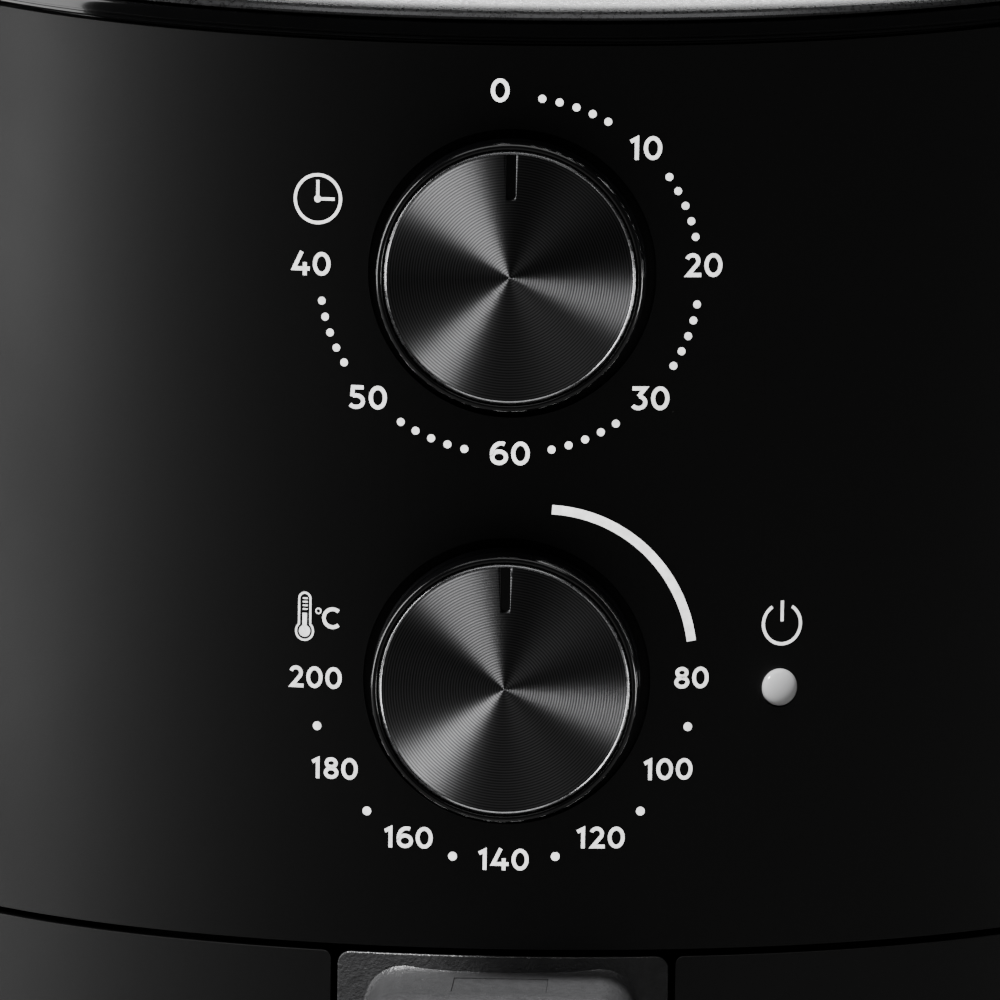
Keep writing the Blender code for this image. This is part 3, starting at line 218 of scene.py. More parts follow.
def tidy(piece, angle=30.0):
    """Merge doubles, turn every face outwards and shade round stretches smooth."""
    pick(piece)
    bpy.ops.object.mode_set(mode="EDIT")
    bpy.ops.mesh.select_all(action="SELECT")
    bpy.ops.mesh.remove_doubles(threshold=1e-6)
    bpy.ops.mesh.normals_make_consistent(inside=False)
    bpy.ops.object.mode_set(mode="OBJECT")
    bpy.ops.object.shade_smooth_by_angle(angle=radians(angle))
    return piece


def evened(piece, angle=35.0):
    """Tidy a cut and bevelled piece and let its large faces rule the shading next to its edges."""
    tidy(piece, angle)
    return modified(piece, "WEIGHTED_NORMAL", keep_sharp=True, weight=100)


def grow_ring(radius_from, radius_to, climb, centre):
    """Extrude the selected ring of edges to its next radius and height."""
    bpy.ops.mesh.extrude_region_move()
    scale = radius_to / radius_from
    bpy.ops.transform.resize(value=(scale, scale, 1), center_override=centre)
    bpy.ops.transform.translate(value=(0, 0, climb))


def near(radius, height, *steps):
    """Outline points in millimetres from one corner (radius, height)."""
    return [(radius + across / 1000, height + up / 1000) for across, up in steps]


def turned(name, profile, segments=128, place=None, smooth=30.0):
    """Turn a closed (radius, height) outline about Z; place then puts it on the object.

    A profile that starts and ends at radius 0 makes a solid, and any other makes a ring.
    """
    solid = profile[0][0] == 0
    points = profile[1:-1] if solid else profile + profile[:1]
    deselect()
    bpy.ops.mesh.primitive_circle_add(vertices=segments, radius=points[0][0], fill_type="NOTHING",
                                      location=(0, 0, points[0][1]))
    piece = added(name)
    bpy.ops.object.mode_set(mode="EDIT")
    bpy.ops.mesh.select_all(action="SELECT")
    if solid:
        bpy.ops.mesh.extrude_region_move()
        bpy.ops.mesh.merge(type="CENTER")
        bpy.ops.transform.translate(value=(0, 0, profile[0][1] - points[0][1]))
        first = bmesh.from_edit_mesh(piece.data)
        height, radius = points[0][1], points[0][0]
        for vert in first.verts:
            vert.select_set(abs(vert.co.z - height) < 1e-7 and abs(vert.co.xy.length - radius) < 1e-6)
        first.select_flush_mode()
        bmesh.update_edit_mesh(piece.data)
    for (radius_from, z_from), (radius_to, z_to) in zip(points, points[1:]):
        grow_ring(radius_from, radius_to, z_to - z_from, (0, 0, 0))
    if solid:
        bpy.ops.mesh.extrude_region_move()
        bpy.ops.mesh.merge(type="CENTER")
        bpy.ops.transform.translate(value=(0, 0, profile[-1][1] - points[-1][1]))
    bpy.ops.object.mode_set(mode="OBJECT")
    if place is not None:
        piece.matrix_world = place
        settle(piece)
    return tidy(piece, smooth)


def outline_solid(name, outline, low, high, plane="XY"):
    """A flat outline, extruded from low to high along the axis that the plane leaves out."""
    order = (lambda a, b, c: (a, b, c)) if plane == "XY" else (lambda a, b, c: (a, c, b))
    deselect()
    bpy.ops.mesh.primitive_circle_add(vertices=len(outline), radius=1, fill_type="NGON")
    piece = added(name)
    for vert, (a, b) in zip(piece.data.vertices, outline):
        vert.co = order(a, b, low)
    bpy.ops.object.mode_set(mode="EDIT")
    bpy.ops.mesh.select_all(action="SELECT")
    bpy.ops.mesh.extrude_region_move(TRANSFORM_OT_translate={"value": order(0, 0, high - low)})
    bpy.ops.object.mode_set(mode="OBJECT")
    return tidy(piece)


def arc(centre, radius, start, end, steps):
    """Points on an arc, angles in degrees from the first axis."""
    turns = [radians(start + (end - start) * step / steps) for step in range(steps + 1)]
    return [(centre[0] + radius * cos(t), centre[1] + radius * sin(t)) for t in turns]


def rounded_box(half_wide, half_high, corner, steps=6, centre=(0, 0)):
    """Points of a rectangle with round corners, anticlockwise."""
    x, y = centre
    points = []
    for quarter, (sx, sy) in enumerate(((1, 1), (-1, 1), (-1, -1), (1, -1))):
        points += arc((x + sx * (half_wide - corner), y + sy * (half_high - corner)), corner,
                      90 * quarter, 90 * quarter + 90, steps)
    return points


def lofted(name, rings, smooth=40.0):
    """A skin through rings of equal point counts, closed at both ends."""
    deselect()
    bpy.ops.mesh.primitive_circle_add(vertices=len(rings[0]), radius=1, fill_type="NGON")
    piece = added(name)
    for vert, place in zip(piece.data.vertices, rings[0]):
        vert.co = place
    bpy.ops.object.mode_set(mode="EDIT")
    bpy.ops.mesh.select_all(action="SELECT")
    for ring in rings[1:]:
        bpy.ops.mesh.extrude_region_move()
        work = bmesh.from_edit_mesh(piece.data)
        work.verts.ensure_lookup_table()
        for vert, place in zip(work.verts[-len(ring):], ring):
            vert.co = place
        bmesh.update_edit_mesh(piece.data)
    bpy.ops.object.mode_set(mode="OBJECT")
    return tidy(piece, smooth)


def on_drum(angle, radius, z):
    """A point round the drum's axis; angle 0 is the front and positive is to the right."""
    return Vector((radius * sin(angle), AXIS_Y - radius * cos(angle), z))


def facing_front(z):
    """A place on the drum's axis, at a height, whose Z axis points to the front."""
    return Matrix.Translation((0, AXIS_Y, z)) @ Matrix.Rotation(pi / 2, 4, "X")


def copies(piece, name, places):
    """Copy a piece to each place, each copy with its own mesh; the pattern piece is removed."""
    made = []
    for index, place in enumerate(places):
        twin = piece.copy()
        twin.data = piece.data.copy()
        twin.name = f"{name}_{index + 1}"
        bpy.context.collection.objects.link(twin)
        twin.matrix_world = place
        made.append(settle(twin))
    bpy.data.objects.remove(piece, do_unlink=True)
    return made


def joined(name, pieces):
    pick(*pieces)
    bpy.ops.object.join()
    piece = bpy.context.active_object
    piece.name = name
    return piece


def finish(piece, body, slot, material, *nodes):
    """Give a piece its material, let it ride on its body and stand for CAD nodes. The slot argument is not used.
    """
    piece.data.materials.clear()
    piece.data.materials.append(material)
    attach(piece, body)
    if nodes:
        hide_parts(*nodes)
    return piece


# ---- materials --------------------------------------------------------------------------------------
class Surface:
    """A small builder round one Principled material, on Object coordinates."""

    def __init__(self, name, base, roughness, metallic=0.0, **sockets):
        self.material = bpy.data.materials.new(name)
        self.material.use_nodes = True
        self.nodes = self.material.node_tree.nodes
        self.links = self.material.node_tree.links
        self.shader = self.nodes["Principled BSDF"]
        self.place = self.add("ShaderNodeTexCoord").outputs["Object"]
        self.set("Base Color", (*base, 1.0))
        self.set("Roughness", roughness)
        self.set("Metallic", metallic)
        for key, value in sockets.items():
            self.set(key.replace("_", " "), value)
        self.height = None

    def add(self, kind, **settings):
        node = self.nodes.new(kind)
        for key, value in settings.items():
            setattr(node, key, value)
        return node

    def set(self, socket, value):
        self.shader.inputs[socket].default_value = value

    def noise(self, scale, detail=3.0, stretch=(1, 1, 1), roughness=0.5, shift=(0, 0, 0)):
        mapping = self.add("ShaderNodeMapping")
        mapping.inputs["Scale"].default_value = stretch
        mapping.inputs["Location"].default_value = shift
        self.links.new(self.place, mapping.inputs["Vector"])
        node = self.add("ShaderNodeTexNoise")
        node.inputs["Scale"].default_value = scale
        node.inputs["Detail"].default_value = detail
        node.inputs["Roughness"].default_value = roughness
        self.links.new(mapping.outputs["Vector"], node.inputs["Vector"])
        return node.outputs["Fac"]

    def spread(self, value, low, high, start=0.3, end=0.7):
        node = self.add("ShaderNodeMapRange")
        for key, number in (("From Min", start), ("From Max", end), ("To Min", low), ("To Max", high)):
            node.inputs[key].default_value = number
        self.links.new(value, node.inputs["Value"])
        return node.outputs["Result"]

    def math(self, operation, first, second=None):
        node = self.add("ShaderNodeMath", operation=operation)
        for index, value in enumerate((first, second)):
            if value is None:
                continue
            if isinstance(value, (int, float)):
                node.inputs[index].default_value = value
            else:
                self.links.new(value, node.inputs[index])
        return node.outputs[0]

    def vary_roughness(self, value, low, high, start=0.3, end=0.7):
        self.links.new(self.spread(value, low, high, start, end), self.shader.inputs["Roughness"])
        return self

    def vary_colour(self, value, low, high, start=0.35, end=0.65):
        ramp = self.add("ShaderNodeMix", data_type="RGBA")
        ramp.inputs["A"].default_value = (*low, 1.0)
        ramp.inputs["B"].default_value = (*high, 1.0)
        self.links.new(self.spread(value, 0.0, 1.0, start, end), ramp.inputs["Factor"])
        self.links.new(ramp.outputs["Result"], self.shader.inputs["Base Color"])
        return self

    def bump(self, value, distance, strength=1.0):
        node = self.add("ShaderNodeBump")
        node.inputs["Distance"].default_value = distance
        node.inputs["Strength"].default_value = strength
        self.links.new(value, node.inputs["Height"])
        if self.height is not None:
            self.links.new(self.height, node.inputs["Normal"])
        self.height = node.outputs["Normal"]
        self.links.new(self.height, self.shader.inputs["Normal"])
        return self


def shaded(base, factor):
    return tuple(min(1.0, channel * factor) for channel in base)


def moulded(name, base, roughness, grain, depth, spread=0.06, **sockets):
    """Moulded plastic: a fine spark-eroded grain, a slow drift of gloss and a little dust of tone."""
    made = Surface(name, base, roughness, **sockets)
    fine = made.noise(grain, 2.0, roughness=0.6)
    slow = made.noise(18.0, 3.0)
    made.vary_colour(made.noise(grain * 0.35, 2.0), shaded(base, 0.86), shaded(base, 1.16))
    made.vary_roughness(slow, roughness - spread, roughness + spread)
    return made.bump(fine, depth).material


def brushed(name, base, roughness, stretch, scale=900.0, depth=0.00002, **sockets):
    """Metal sheet with long fine brush lines across one axis."""
    made = Surface(name, base, roughness, 1.0, **sockets)
    lines = made.noise(scale, 2.0, stretch)
    made.vary_roughness(lines, roughness - 0.08, roughness + 0.1)
    made.vary_colour(made.noise(25.0, 3.0), shaded(base, 0.88), shaded(base, 1.08))
    return made.bump(lines, depth).material


def spun(name, base, centre, pitch):
    """Metal turned on a lathe about the Y axis: round grooves of one pitch with finer ones between, with painted
    shade in their troughs and painted highlight on their crests.
    """
    made = Surface(name, base, 0.31, 1.0, Anisotropic=0.9, Anisotropic_Rotation=0.25)
    mapping = made.add("ShaderNodeMapping")
    mapping.inputs["Location"].default_value = -Vector(centre)
    made.links.new(made.place, mapping.inputs["Vector"])
    parts = made.add("ShaderNodeSeparateXYZ")
    made.links.new(mapping.outputs["Vector"], parts.inputs["Vector"])
    across = made.math("MULTIPLY", parts.outputs["X"], parts.outputs["X"])
    upward = made.math("MULTIPLY", parts.outputs["Z"], parts.outputs["Z"])
    radius = made.math("SQRT", made.math("ADD", across, upward))
    coarse = made.math("SINE", made.math("MULTIPLY", radius, 2 * pi / pitch))
    fine = made.math("SINE", made.math("MULTIPLY", radius, 2 * pi / (pitch * 0.37)))
    together = made.math("ADD", coarse, made.math("MULTIPLY", fine, 0.35))
    level = made.math("ADD", made.math("MULTIPLY", together, 0.37), 0.5)
    made.bump(made.math("MULTIPLY", radius, -FACET_SLOPE), 1.0)
    made.bump(level, pitch * 0.045)
    # painted shade and painted highlight: the base colour follows the groove height, darker in the troughs and
    # lighter on the crests
    made.vary_colour(level, shaded(base, 0.55), shaded(base, 1.4), 0.2, 0.8)
    tangent = made.add("ShaderNodeTangent", direction_type="RADIAL", axis="Y")
    made.links.new(tangent.outputs["Tangent"], made.shader.inputs["Tangent"])
    return made.material


MATERIALS = {}


def make_materials(tones):
    add = MATERIALS.__setitem__
    add("body", moulded("matte_black_drum", tones.body, 0.53, 2600.0, 0.000016, 0.03))
    add("gloss", moulded("polished_black", tones.gloss, 0.1, 900.0, 0.000002, 0.03, Coat_Weight=0.4))
    add("handle", moulded("grained_graphite", tones.handle, 0.36, 1700.0, 0.00022, 0.05))
    add("ring", brushed("satin_grey_ring", tones.ring, 0.3, (1, 1, 1), 1400.0, 0.000006))
    add("knob_rim", moulded("knob_black", tones.gloss, 0.2, 1400.0, 0.000004, 0.04, Coat_Weight=0.3))
    # painted highlight: the knob face's metal made nine times lighter, standing in for a chamfer that catches the
    # light
    add("bright_edge", brushed("painted_highlight_edge", shaded(tones.face, 9.0), 0.26, (1, 1, 1), 1100.0, 0.000004))
    add("marks", moulded("printed_white", tones.marks, 0.45, 1500.0, 0.000003, 0.05))
    lens = Surface("milky_lens", (0.86, 0.86, 0.87), 0.16, Subsurface_Weight=0.35, Coat_Weight=0.6)
    lens.set("Subsurface Radius", (0.003, 0.003, 0.003))
    lens.vary_roughness(lens.noise(700.0), 0.12, 0.22).bump(lens.noise(300.0), 0.00001)
    add("lens", lens.material)
    add("rubber", moulded("foot_rubber", (0.016, 0.016, 0.017), 0.78, 1500.0, 0.00004))
    add("plastic_white", moulded("plain_white_plastic", (0.72, 0.72, 0.7), 0.45, 1200.0, 0.00001))
    add("plastic_cream", moulded("cream_plastic", (0.66, 0.6, 0.48), 0.5, 1200.0, 0.00001))
    add("steel", brushed("zinc_steel", (0.56, 0.57, 0.59), 0.32, (1, 12, 1), 700.0))
    add("dark_steel", brushed("oxidised_steel", (0.13, 0.12, 0.115), 0.42, (6, 6, 1), 500.0))
    add("aluminium", brushed("bright_sheet", (0.62, 0.63, 0.65), 0.3, (1, 1, 14), 300.0))
    add("brass", brushed("turned_brass", (0.72, 0.54, 0.25), 0.28, (1, 1, 10), 900.0))
    add("copper", brushed("copper_wire", (0.72, 0.33, 0.18), 0.3, (1, 20, 1), 500.0, 0.00006))
    coat = Surface("nonstick_coat", (0.022, 0.022, 0.023), 0.33, 0.0, Coat_Weight=0.25)
    specks = coat.noise(1500.0, 1.0)
    coat.vary_colour(specks, (0.018, 0.018, 0.019), (0.06, 0.06, 0.062), 0.62, 0.75)
    coat.vary_roughness(coat.noise(60.0), 0.26, 0.42).bump(specks, 0.00003)
    add("nonstick", coat.material)
    clear = Surface("smoked_clear", (0.35, 0.35, 0.36), 0.08, Transmission_Weight=0.9, Coat_Weight=0.3)
    clear.vary_roughness(clear.noise(400.0), 0.05, 0.14).bump(clear.noise(900.0), 0.000004)
    add("clear", clear.material)
    for dial, z in (("timer", TIMER_Z), ("temperature", TEMPERATURE_Z)):
        add(dial + "_face", spun(dial + "_spun_metal", tones.face, (0, FACE_LOW.y, z),
                                 bpy.context.scene.fryer_sizes.groove_pitch))


# ---- drum and lid -----------------------------------------------------------------------------------
def lid_plane_cut(piece):
    """Bisect a piece along the lid's sloping plane and close it."""
    pick(piece)
    bpy.ops.object.mode_set(mode="EDIT")
    bpy.ops.mesh.select_all(action="SELECT")
    slope = (0, -sin(LID_SLOPE), cos(LID_SLOPE))
    bpy.ops.mesh.bisect(plane_co=(0, FRONT_Y, LID_FRONT_Z), plane_no=slope, use_fill=True, clear_outer=True)
    bpy.ops.object.mode_set(mode="OBJECT")
    return piece


def sector(name, half_angle, low, high):
    """A wedge open to the front, for cutting a round wall."""
    reach = RADIUS * 2.2
    outline = [(0, AXIS_Y)]
    for share in (-1, -0.5, 0, 0.5, 1):
        outline.append(tuple(on_drum(half_angle * share, reach, 0).xy))
    return outline_solid(name, outline, low, high)


class AIR_FRYER_OT_drum(bpy.types.Operator):
    """Make the drum's outer shell with its two dial wells, its drawer opening and its holes"""
    bl_idname = "air_fryer.drum"
    bl_label = "Drum"

    def execute(self, context):
        sizes = context.scene.fryer_sizes
        inner = RADIUS - sizes.wall
        shell = cylinder("drum_shell", RADIUS, SHELL_LOW.z, SHELL_HIGH.z + 0.01, 256)
        lid_plane_cut(shell)
        inside = cylinder("drum_inside", inner, SHELL_LOW.z - 0.01, SHELL_HIGH.z + 0.02, 256)
        well_y = FRONT_Y + sizes.well_depth
        back_y = well_y + sizes.well_floor
        for z in (TIMER_Z, TEMPERATURE_Z):
            cup_radius = sizes.well_radius + sizes.well_floor
            cut(inside, rod("cup", cup_radius, (0, back_y - 2 * OVERCUT, z), (0, back_y, z), 96))
        cut(shell, inside)
        half_angle = asin(DOOR_HIGH.x / RADIUS) + sizes.seam_gap / RADIUS
        cut(shell, sector("opening", half_angle, SHELL_LOW.z - 0.01, DOOR_HIGH.z + sizes.seam_gap))
        for z in (TIMER_Z, TEMPERATURE_Z):
            cut(shell, rod("well", sizes.well_radius, (0, FRONT_Y - OVERCUT, z), (0, well_y, z), 128),
                rod("bush_hole", sizes.bush_radius + HOLE_GAP, (0, well_y - 0.005, z),
                    (0, back_y + 0.005, z), 48))
        cut(shell, rod("lens_hole", sizes.lens_radius + HOLE_GAP,
                       on_drum(LENS_TURN, RADIUS - OVERCUT, LENS.z),
                       on_drum(LENS_TURN, RADIUS + OVERCUT, LENS.z), 48))
        side, tall = GRILLE_HIGH.x + HOLE_GAP, GRILLE_HIGH.z + HOLE_GAP
        low = GRILLE_LOW.z - HOLE_GAP
        cut(shell, block("vent_hole", (-side, AXIS_Y + 0.09, low), (side, AXIS_Y + 0.15, tall)))
        gland = middle("cord_gland")
        cut(shell, rod("gland_hole", GLAND_HOLE_RADIUS, (0, AXIS_Y + 0.12, gland.z),
                       (0, AXIS_Y + 0.15, gland.z), 48))
        bevelled(shell, sizes.shell_edge, 2, 50)
        finish(evened(shell), "housing", "matte_black", MATERIALS["body"], "outer_shell")
        return {"FINISHED"}


class AIR_FRYER_OT_lid(bpy.types.Operator):
    """Make the lid: polished band, grey ring and recessed middle panel"""
    bl_idname = "air_fryer.lid"
    bl_label = "Lid"

    def execute(self, context):
        sizes = context.scene.fryer_sizes
        outer = RADIUS - 0.0003
        tongue = RADIUS - sizes.wall - HOLE_GAP
        trim_outer = RADIUS - 0.0014
        trim_inner = trim_outer - sizes.trim_width
        low = sizes.band_height + HOLE_GAP
        top = low + sizes.trim_height
        panel_top = top - sizes.panel_recess
        shelf = panel_top - 0.0028
        height, neck = sizes.band_height, tongue - 0.0024
        band = [(trim_inner - 0.003, shelf - 0.002), (neck, shelf - 0.002), (neck, -0.005), (tongue, -0.005),
                (tongue, 0.0006)]
        band += near(outer, 0, (-0.5, 0.6), (-0.2, 0.7), (0, 1), (0, 1.4), (-0.25, 1.5), (-0.25, 1.8),
                     (0, 1.9))
        band += near(outer, height, (0, -0.8), (-0.3, -0.2), (-1, 0))
        band += [(neck, height), (neck, shelf), (trim_inner - 0.003, shelf)]
        ring = near(trim_inner, low, (0, -2), (2, -2), (2, 0))
        ring += near(trim_outer, low, (-0.3, 0), (0, 0.3), (0, 0.7), (-0.4, 1.3), (-1.4, 1.7))
        ring += near(trim_inner, top, (1.2, 0), (0.4, -0.2), (0, -0.7))
        panel_outer = trim_inner - HOLE_GAP
        panel = [(0, shelf + HOLE_GAP), (panel_outer, shelf + HOLE_GAP)]
        panel += near(panel_outer, panel_top, (0, -0.8), (-0.3, -0.2), (-1, 0), (-12, 0), (-12.5, -0.4),
                      (-13.5, -0.4), (-14, 0))
        panel.append((0, panel_top))
        for name, profile, slot, material, node in (
                ("lid_polished_band", band, "gloss_black", "gloss", "lid_band"),
                ("lid_grey_ring", ring, "satin_grey", "ring", "lid_trim_ring"),
                ("lid_middle_panel", panel, "gloss_black", "gloss", "lid_panel")):
            piece = turned(name, profile, 256)
            for vert in piece.data.vertices:
                vert.co.z += LID_FRONT_Z + (vert.co.y + RADIUS) * tan(LID_SLOPE)
                vert.co.y += AXIS_Y
            finish(tidy(piece, 50), "housing", slot, MATERIALS[material], node)
        return {"FINISHED"}


# ---- dials ------------------------------------------------------------------------------------------
class AIR_FRYER_OT_knobs(bpy.types.Operator):
    """Make both knobs with their spun metal faces and pointer slots"""
    bl_idname = "air_fryer.knobs"
    bl_label = "Knobs"

    def execute(self, context):
        reach = AXIS_Y - KNOB_LOW.y
        back = AXIS_Y - KNOB_HIGH.y
        radius = (FACE_HIGH.x - FACE_LOW.x) / 2
        rim = radius + 0.0015
        seat = reach - 0.0012
        for dial, z, slot_wide in (("timer", TIMER_Z, 0.0019), ("temperature", TEMPERATURE_Z, 0.0018)):
            place = facing_front(z)
            profile = [(0, seat - 0.0006), (radius + 0.0003, seat - 0.0006)]
            profile += near(radius, reach, (0.3, -0.5), (0.45, -0.15), (0.8, 0))
            profile += near(rim, reach, (-0.6, 0), (-0.2, -0.2), (0, -0.6))
            profile += near(rim, back, (0, 5.2), (0.2, 4.6), (0.5, 4.2), (0.5, 0.4), (0.3, 0))
            profile += near(0, back, (7, 0), (7, 4), (3.3, 4), (3.3, 12), (0, 12))
            knob = turned(dial + "_knob_body", profile, 192, place, 50)
            finish(knob, dial + "_dial", "gloss_black", MATERIALS["knob_rim"], dial + "_knob")
            dish = 0.0007
            face_profile = [(0, seat - 0.0003), (radius, seat - 0.0003)]
            face_profile += near(radius, reach, (0, -0.5), (-0.2, -0.3), (-0.6, -0.3))
            steps = 24
            for step in range(1, steps):
                share = 1 - step / steps
                face_profile.append(((radius - 0.0006) * share, reach - 0.0003 - dish * (1 - share)))
            face_profile.append((0, reach - 0.0003 - dish))
            face = turned(dial + "_face", face_profile, 192, place, 30)
            outer_end = radius - 0.0004
            inner_end = outer_end - 0.0078
            half = slot_wide / 2
            slot = outline_solid("pointer_slot", [(half, outer_end)] + [(-half, outer_end)]
                                 + arc((0, inner_end), half, 180, 360, 10), FACE_LOW.y - 0.002,
                                 AXIS_Y - (seat - 0.002), "XZ")
            for vert in slot.data.vertices:
                vert.co.z += z
            cut(face, slot)
            bevelled(face, 0.00012, 2, 50)
            finish(evened(face, 30), dial + "_dial", "spun_dark_metal", MATERIALS[dial + "_face"],
                   dial + "_knob_face")
            # the edge ring round each face uses the painted highlight metal, a lit look painted on the chamfer
            edge = near(radius, reach, (-0.5, -0.8), (0.2, -0.8), (0.2, -0.4), (-0.2, 0), (-0.3, 0),
                        (-0.5, -0.2))
            ring = turned(dial + "_face_edge", edge, 256, place, 25)
            finish(ring, dial + "_dial", "spun_dark_metal", MATERIALS["bright_edge"])
        return {"FINISHED"}


# ---- printed marks ----------------------------------------------------------------------------------
def ribbon(line, width, closed=False):
    """The two edges of a line of one width, with square joints at its corners."""
    count = len(line)
    left, right = [], []
    for index, point in enumerate(line):
        before = line[index - 1] if closed or index else None
        after = line[(index + 1) % count] if closed or index < count - 1 else None
        point = Vector(point)
        ways = []
        if before is not None:
            ways.append((point - Vector(before)).normalized())
        if after is not None:
            ways.append((Vector(after) - point).normalized())
        normals = [Vector((-way.y, way.x)) for way in ways]
        normal = sum(normals, Vector((0, 0))).normalized()
        reach = width / 2 / max(0.35, normal.dot(normals[0]))
        left.append(point + normal * reach)
        right.append(point - normal * reach)
    return left, right


class Print:
    """Flat marks wrapped on the drum: u runs to the right along the surface and v upwards."""

    def __init__(self, height):
        self.verts, self.faces = [], []
        self.height = height

    def place(self, u, v, lift):
        return on_drum(u / RADIUS, RADIUS + lift, v)

    def strip(self, line, width, closed=False):
        left, right = ribbon(line, width, closed)
        first = len(self.verts)
        for a, b in zip(left, right):
            for point, lift in ((a, self.height), (b, self.height), (a, -self.height), (b, -self.height)):
                self.verts.append(self.place(point.x, point.y, lift))
        count = len(left)
        spans = count if closed else count - 1
        for index in range(spans):
            here = first + 4 * index
            there = first + 4 * ((index + 1) % count)
            for p, q in ((0, 1), (1, 3), (3, 2), (2, 0)):
                self.faces.append((here + p, there + p, there + q, here + q))
        if not closed:
            last = first + 4 * (count - 1)
            self.faces.append((first, first + 1, first + 3, first + 2))
            self.faces.append((last + 2, last + 3, last + 1, last))

    def disc(self, u, v, radius, steps=28):
        first = len(self.verts)
        for lift in (self.height, -self.height):
            for a, b in arc((u, v), radius, 0, 360 - 360 / steps, steps - 1):
                self.verts.append(self.place(a, b, lift))
        top = list(range(first, first + steps))
        bottom = [index + steps for index in top]
        self.faces += [tuple(top), tuple(reversed(bottom))]
        for index in range(steps):
            after = (index + 1) % steps
            self.faces.append((bottom[index], bottom[after], top[after], top[index]))

    def piece(self, name):
        mesh = bpy.data.meshes.new(name)
        mesh.from_pydata(self.verts, [], self.faces)
        made = bpy.data.objects.new(name, mesh)
        bpy.context.collection.objects.link(made)
        return tidy(made, 30)


def oval(centre, half_wide, half_high, start=0, end=360, steps=36):
    turns = [radians(start + (end - start) * step / steps) for step in range(steps + 1)]
    return [(centre[0] + half_wide * cos(t), centre[1] + half_high * sin(t)) for t in turns]


GLYPH_STROKE = 0.172


def glyph(letter):
    """Centre lines of one figure in a box one unit high, with its width; each is (line, closed)."""
    stroke = GLYPH_STROKE
    low, high = stroke / 2, 1 - stroke / 2
    if letter == "0":
        wide = 0.78
        half = (wide - stroke) / 2
        return wide, [(oval((wide / 2, 0.5), half, 0.5 - stroke / 2)[:-1], True)]
    if letter == "1":
        return 0.42, [([(0.0, 0.76), (0.265, 0.895), (0.265, 0.0)], False)]
    if letter == "2":
        wide = 0.71
        bowl = oval((0.335, 0.675), 0.245, high - 0.675, 162, -34, 22)
        return wide, [(bowl + [(0.15, low), (wide, low)], False)]
    if letter == "3":
        top = [(0.05, high), (0.585, high), (0.31, 0.575)]
        bowl = oval((0.31, 0.33), 0.29, 0.33 - low, 84, -146, 24)
        return 0.71, [(top, False), (bowl, False)]
    if letter == "4":
        wide = 0.80
        arm = [(0.44, 1.0), (0.09, 0.285), (wide, 0.285)]
        return wide, [(arm, False), ([(0.58, 0.0), (0.58, 0.55)], False)]
    if letter == "5":
        bowl = oval((0.31, 0.33), 0.31, 0.33 - low, 118, -144, 26)
        return 0.73, [([(0.64, high), (0.175, high), (0.145, 0.53)], False), (bowl, False)]
    if letter == "6":
        wide = 0.75
        bowl = oval((wide / 2 + 0.01, 0.33), wide / 2 - stroke / 2, 0.33 - stroke / 2)[:-1]
        stem = oval((0.47, 0.47), 0.47 - stroke / 2, high - 0.47, 192, 68, 20)
        return wide, [(bowl, True), (stem, False)]
    if letter == "8":
        wide = 0.70
        upper = oval((wide / 2, 0.735), 0.225, high - 0.735)[:-1]
        lower = oval((wide / 2, 0.29), wide / 2 - stroke / 2, 0.29 - low)[:-1]
        return wide, [(upper, True), (lower, True)]
    if letter == "C":
        return 0.80, [(oval((0.47, 0.5), 0.42, 0.5 - stroke / 2, 48, 312, 30), False)]
    raise ValueError(letter)


def write(marks, text, u, v, height, gap=0.14):
    """Figures centred on a point."""
    glyphs = [glyph(letter) for letter in text]
    total = sum(wide for wide, _ in glyphs) + gap * (len(glyphs) - 1)
    start = u - total * height / 2
    for wide, lines in glyphs:
        for line, closed in lines:
            points = [(start + a * height, v - height / 2 + b * height) for a, b in line]
            marks.strip(points, GLYPH_STROKE * height, closed)
        start += (wide + gap) * height


PRINTS = ("timer_scale", "temperature_scale", "clock_symbol", "thermometer_symbol", "power_symbol")


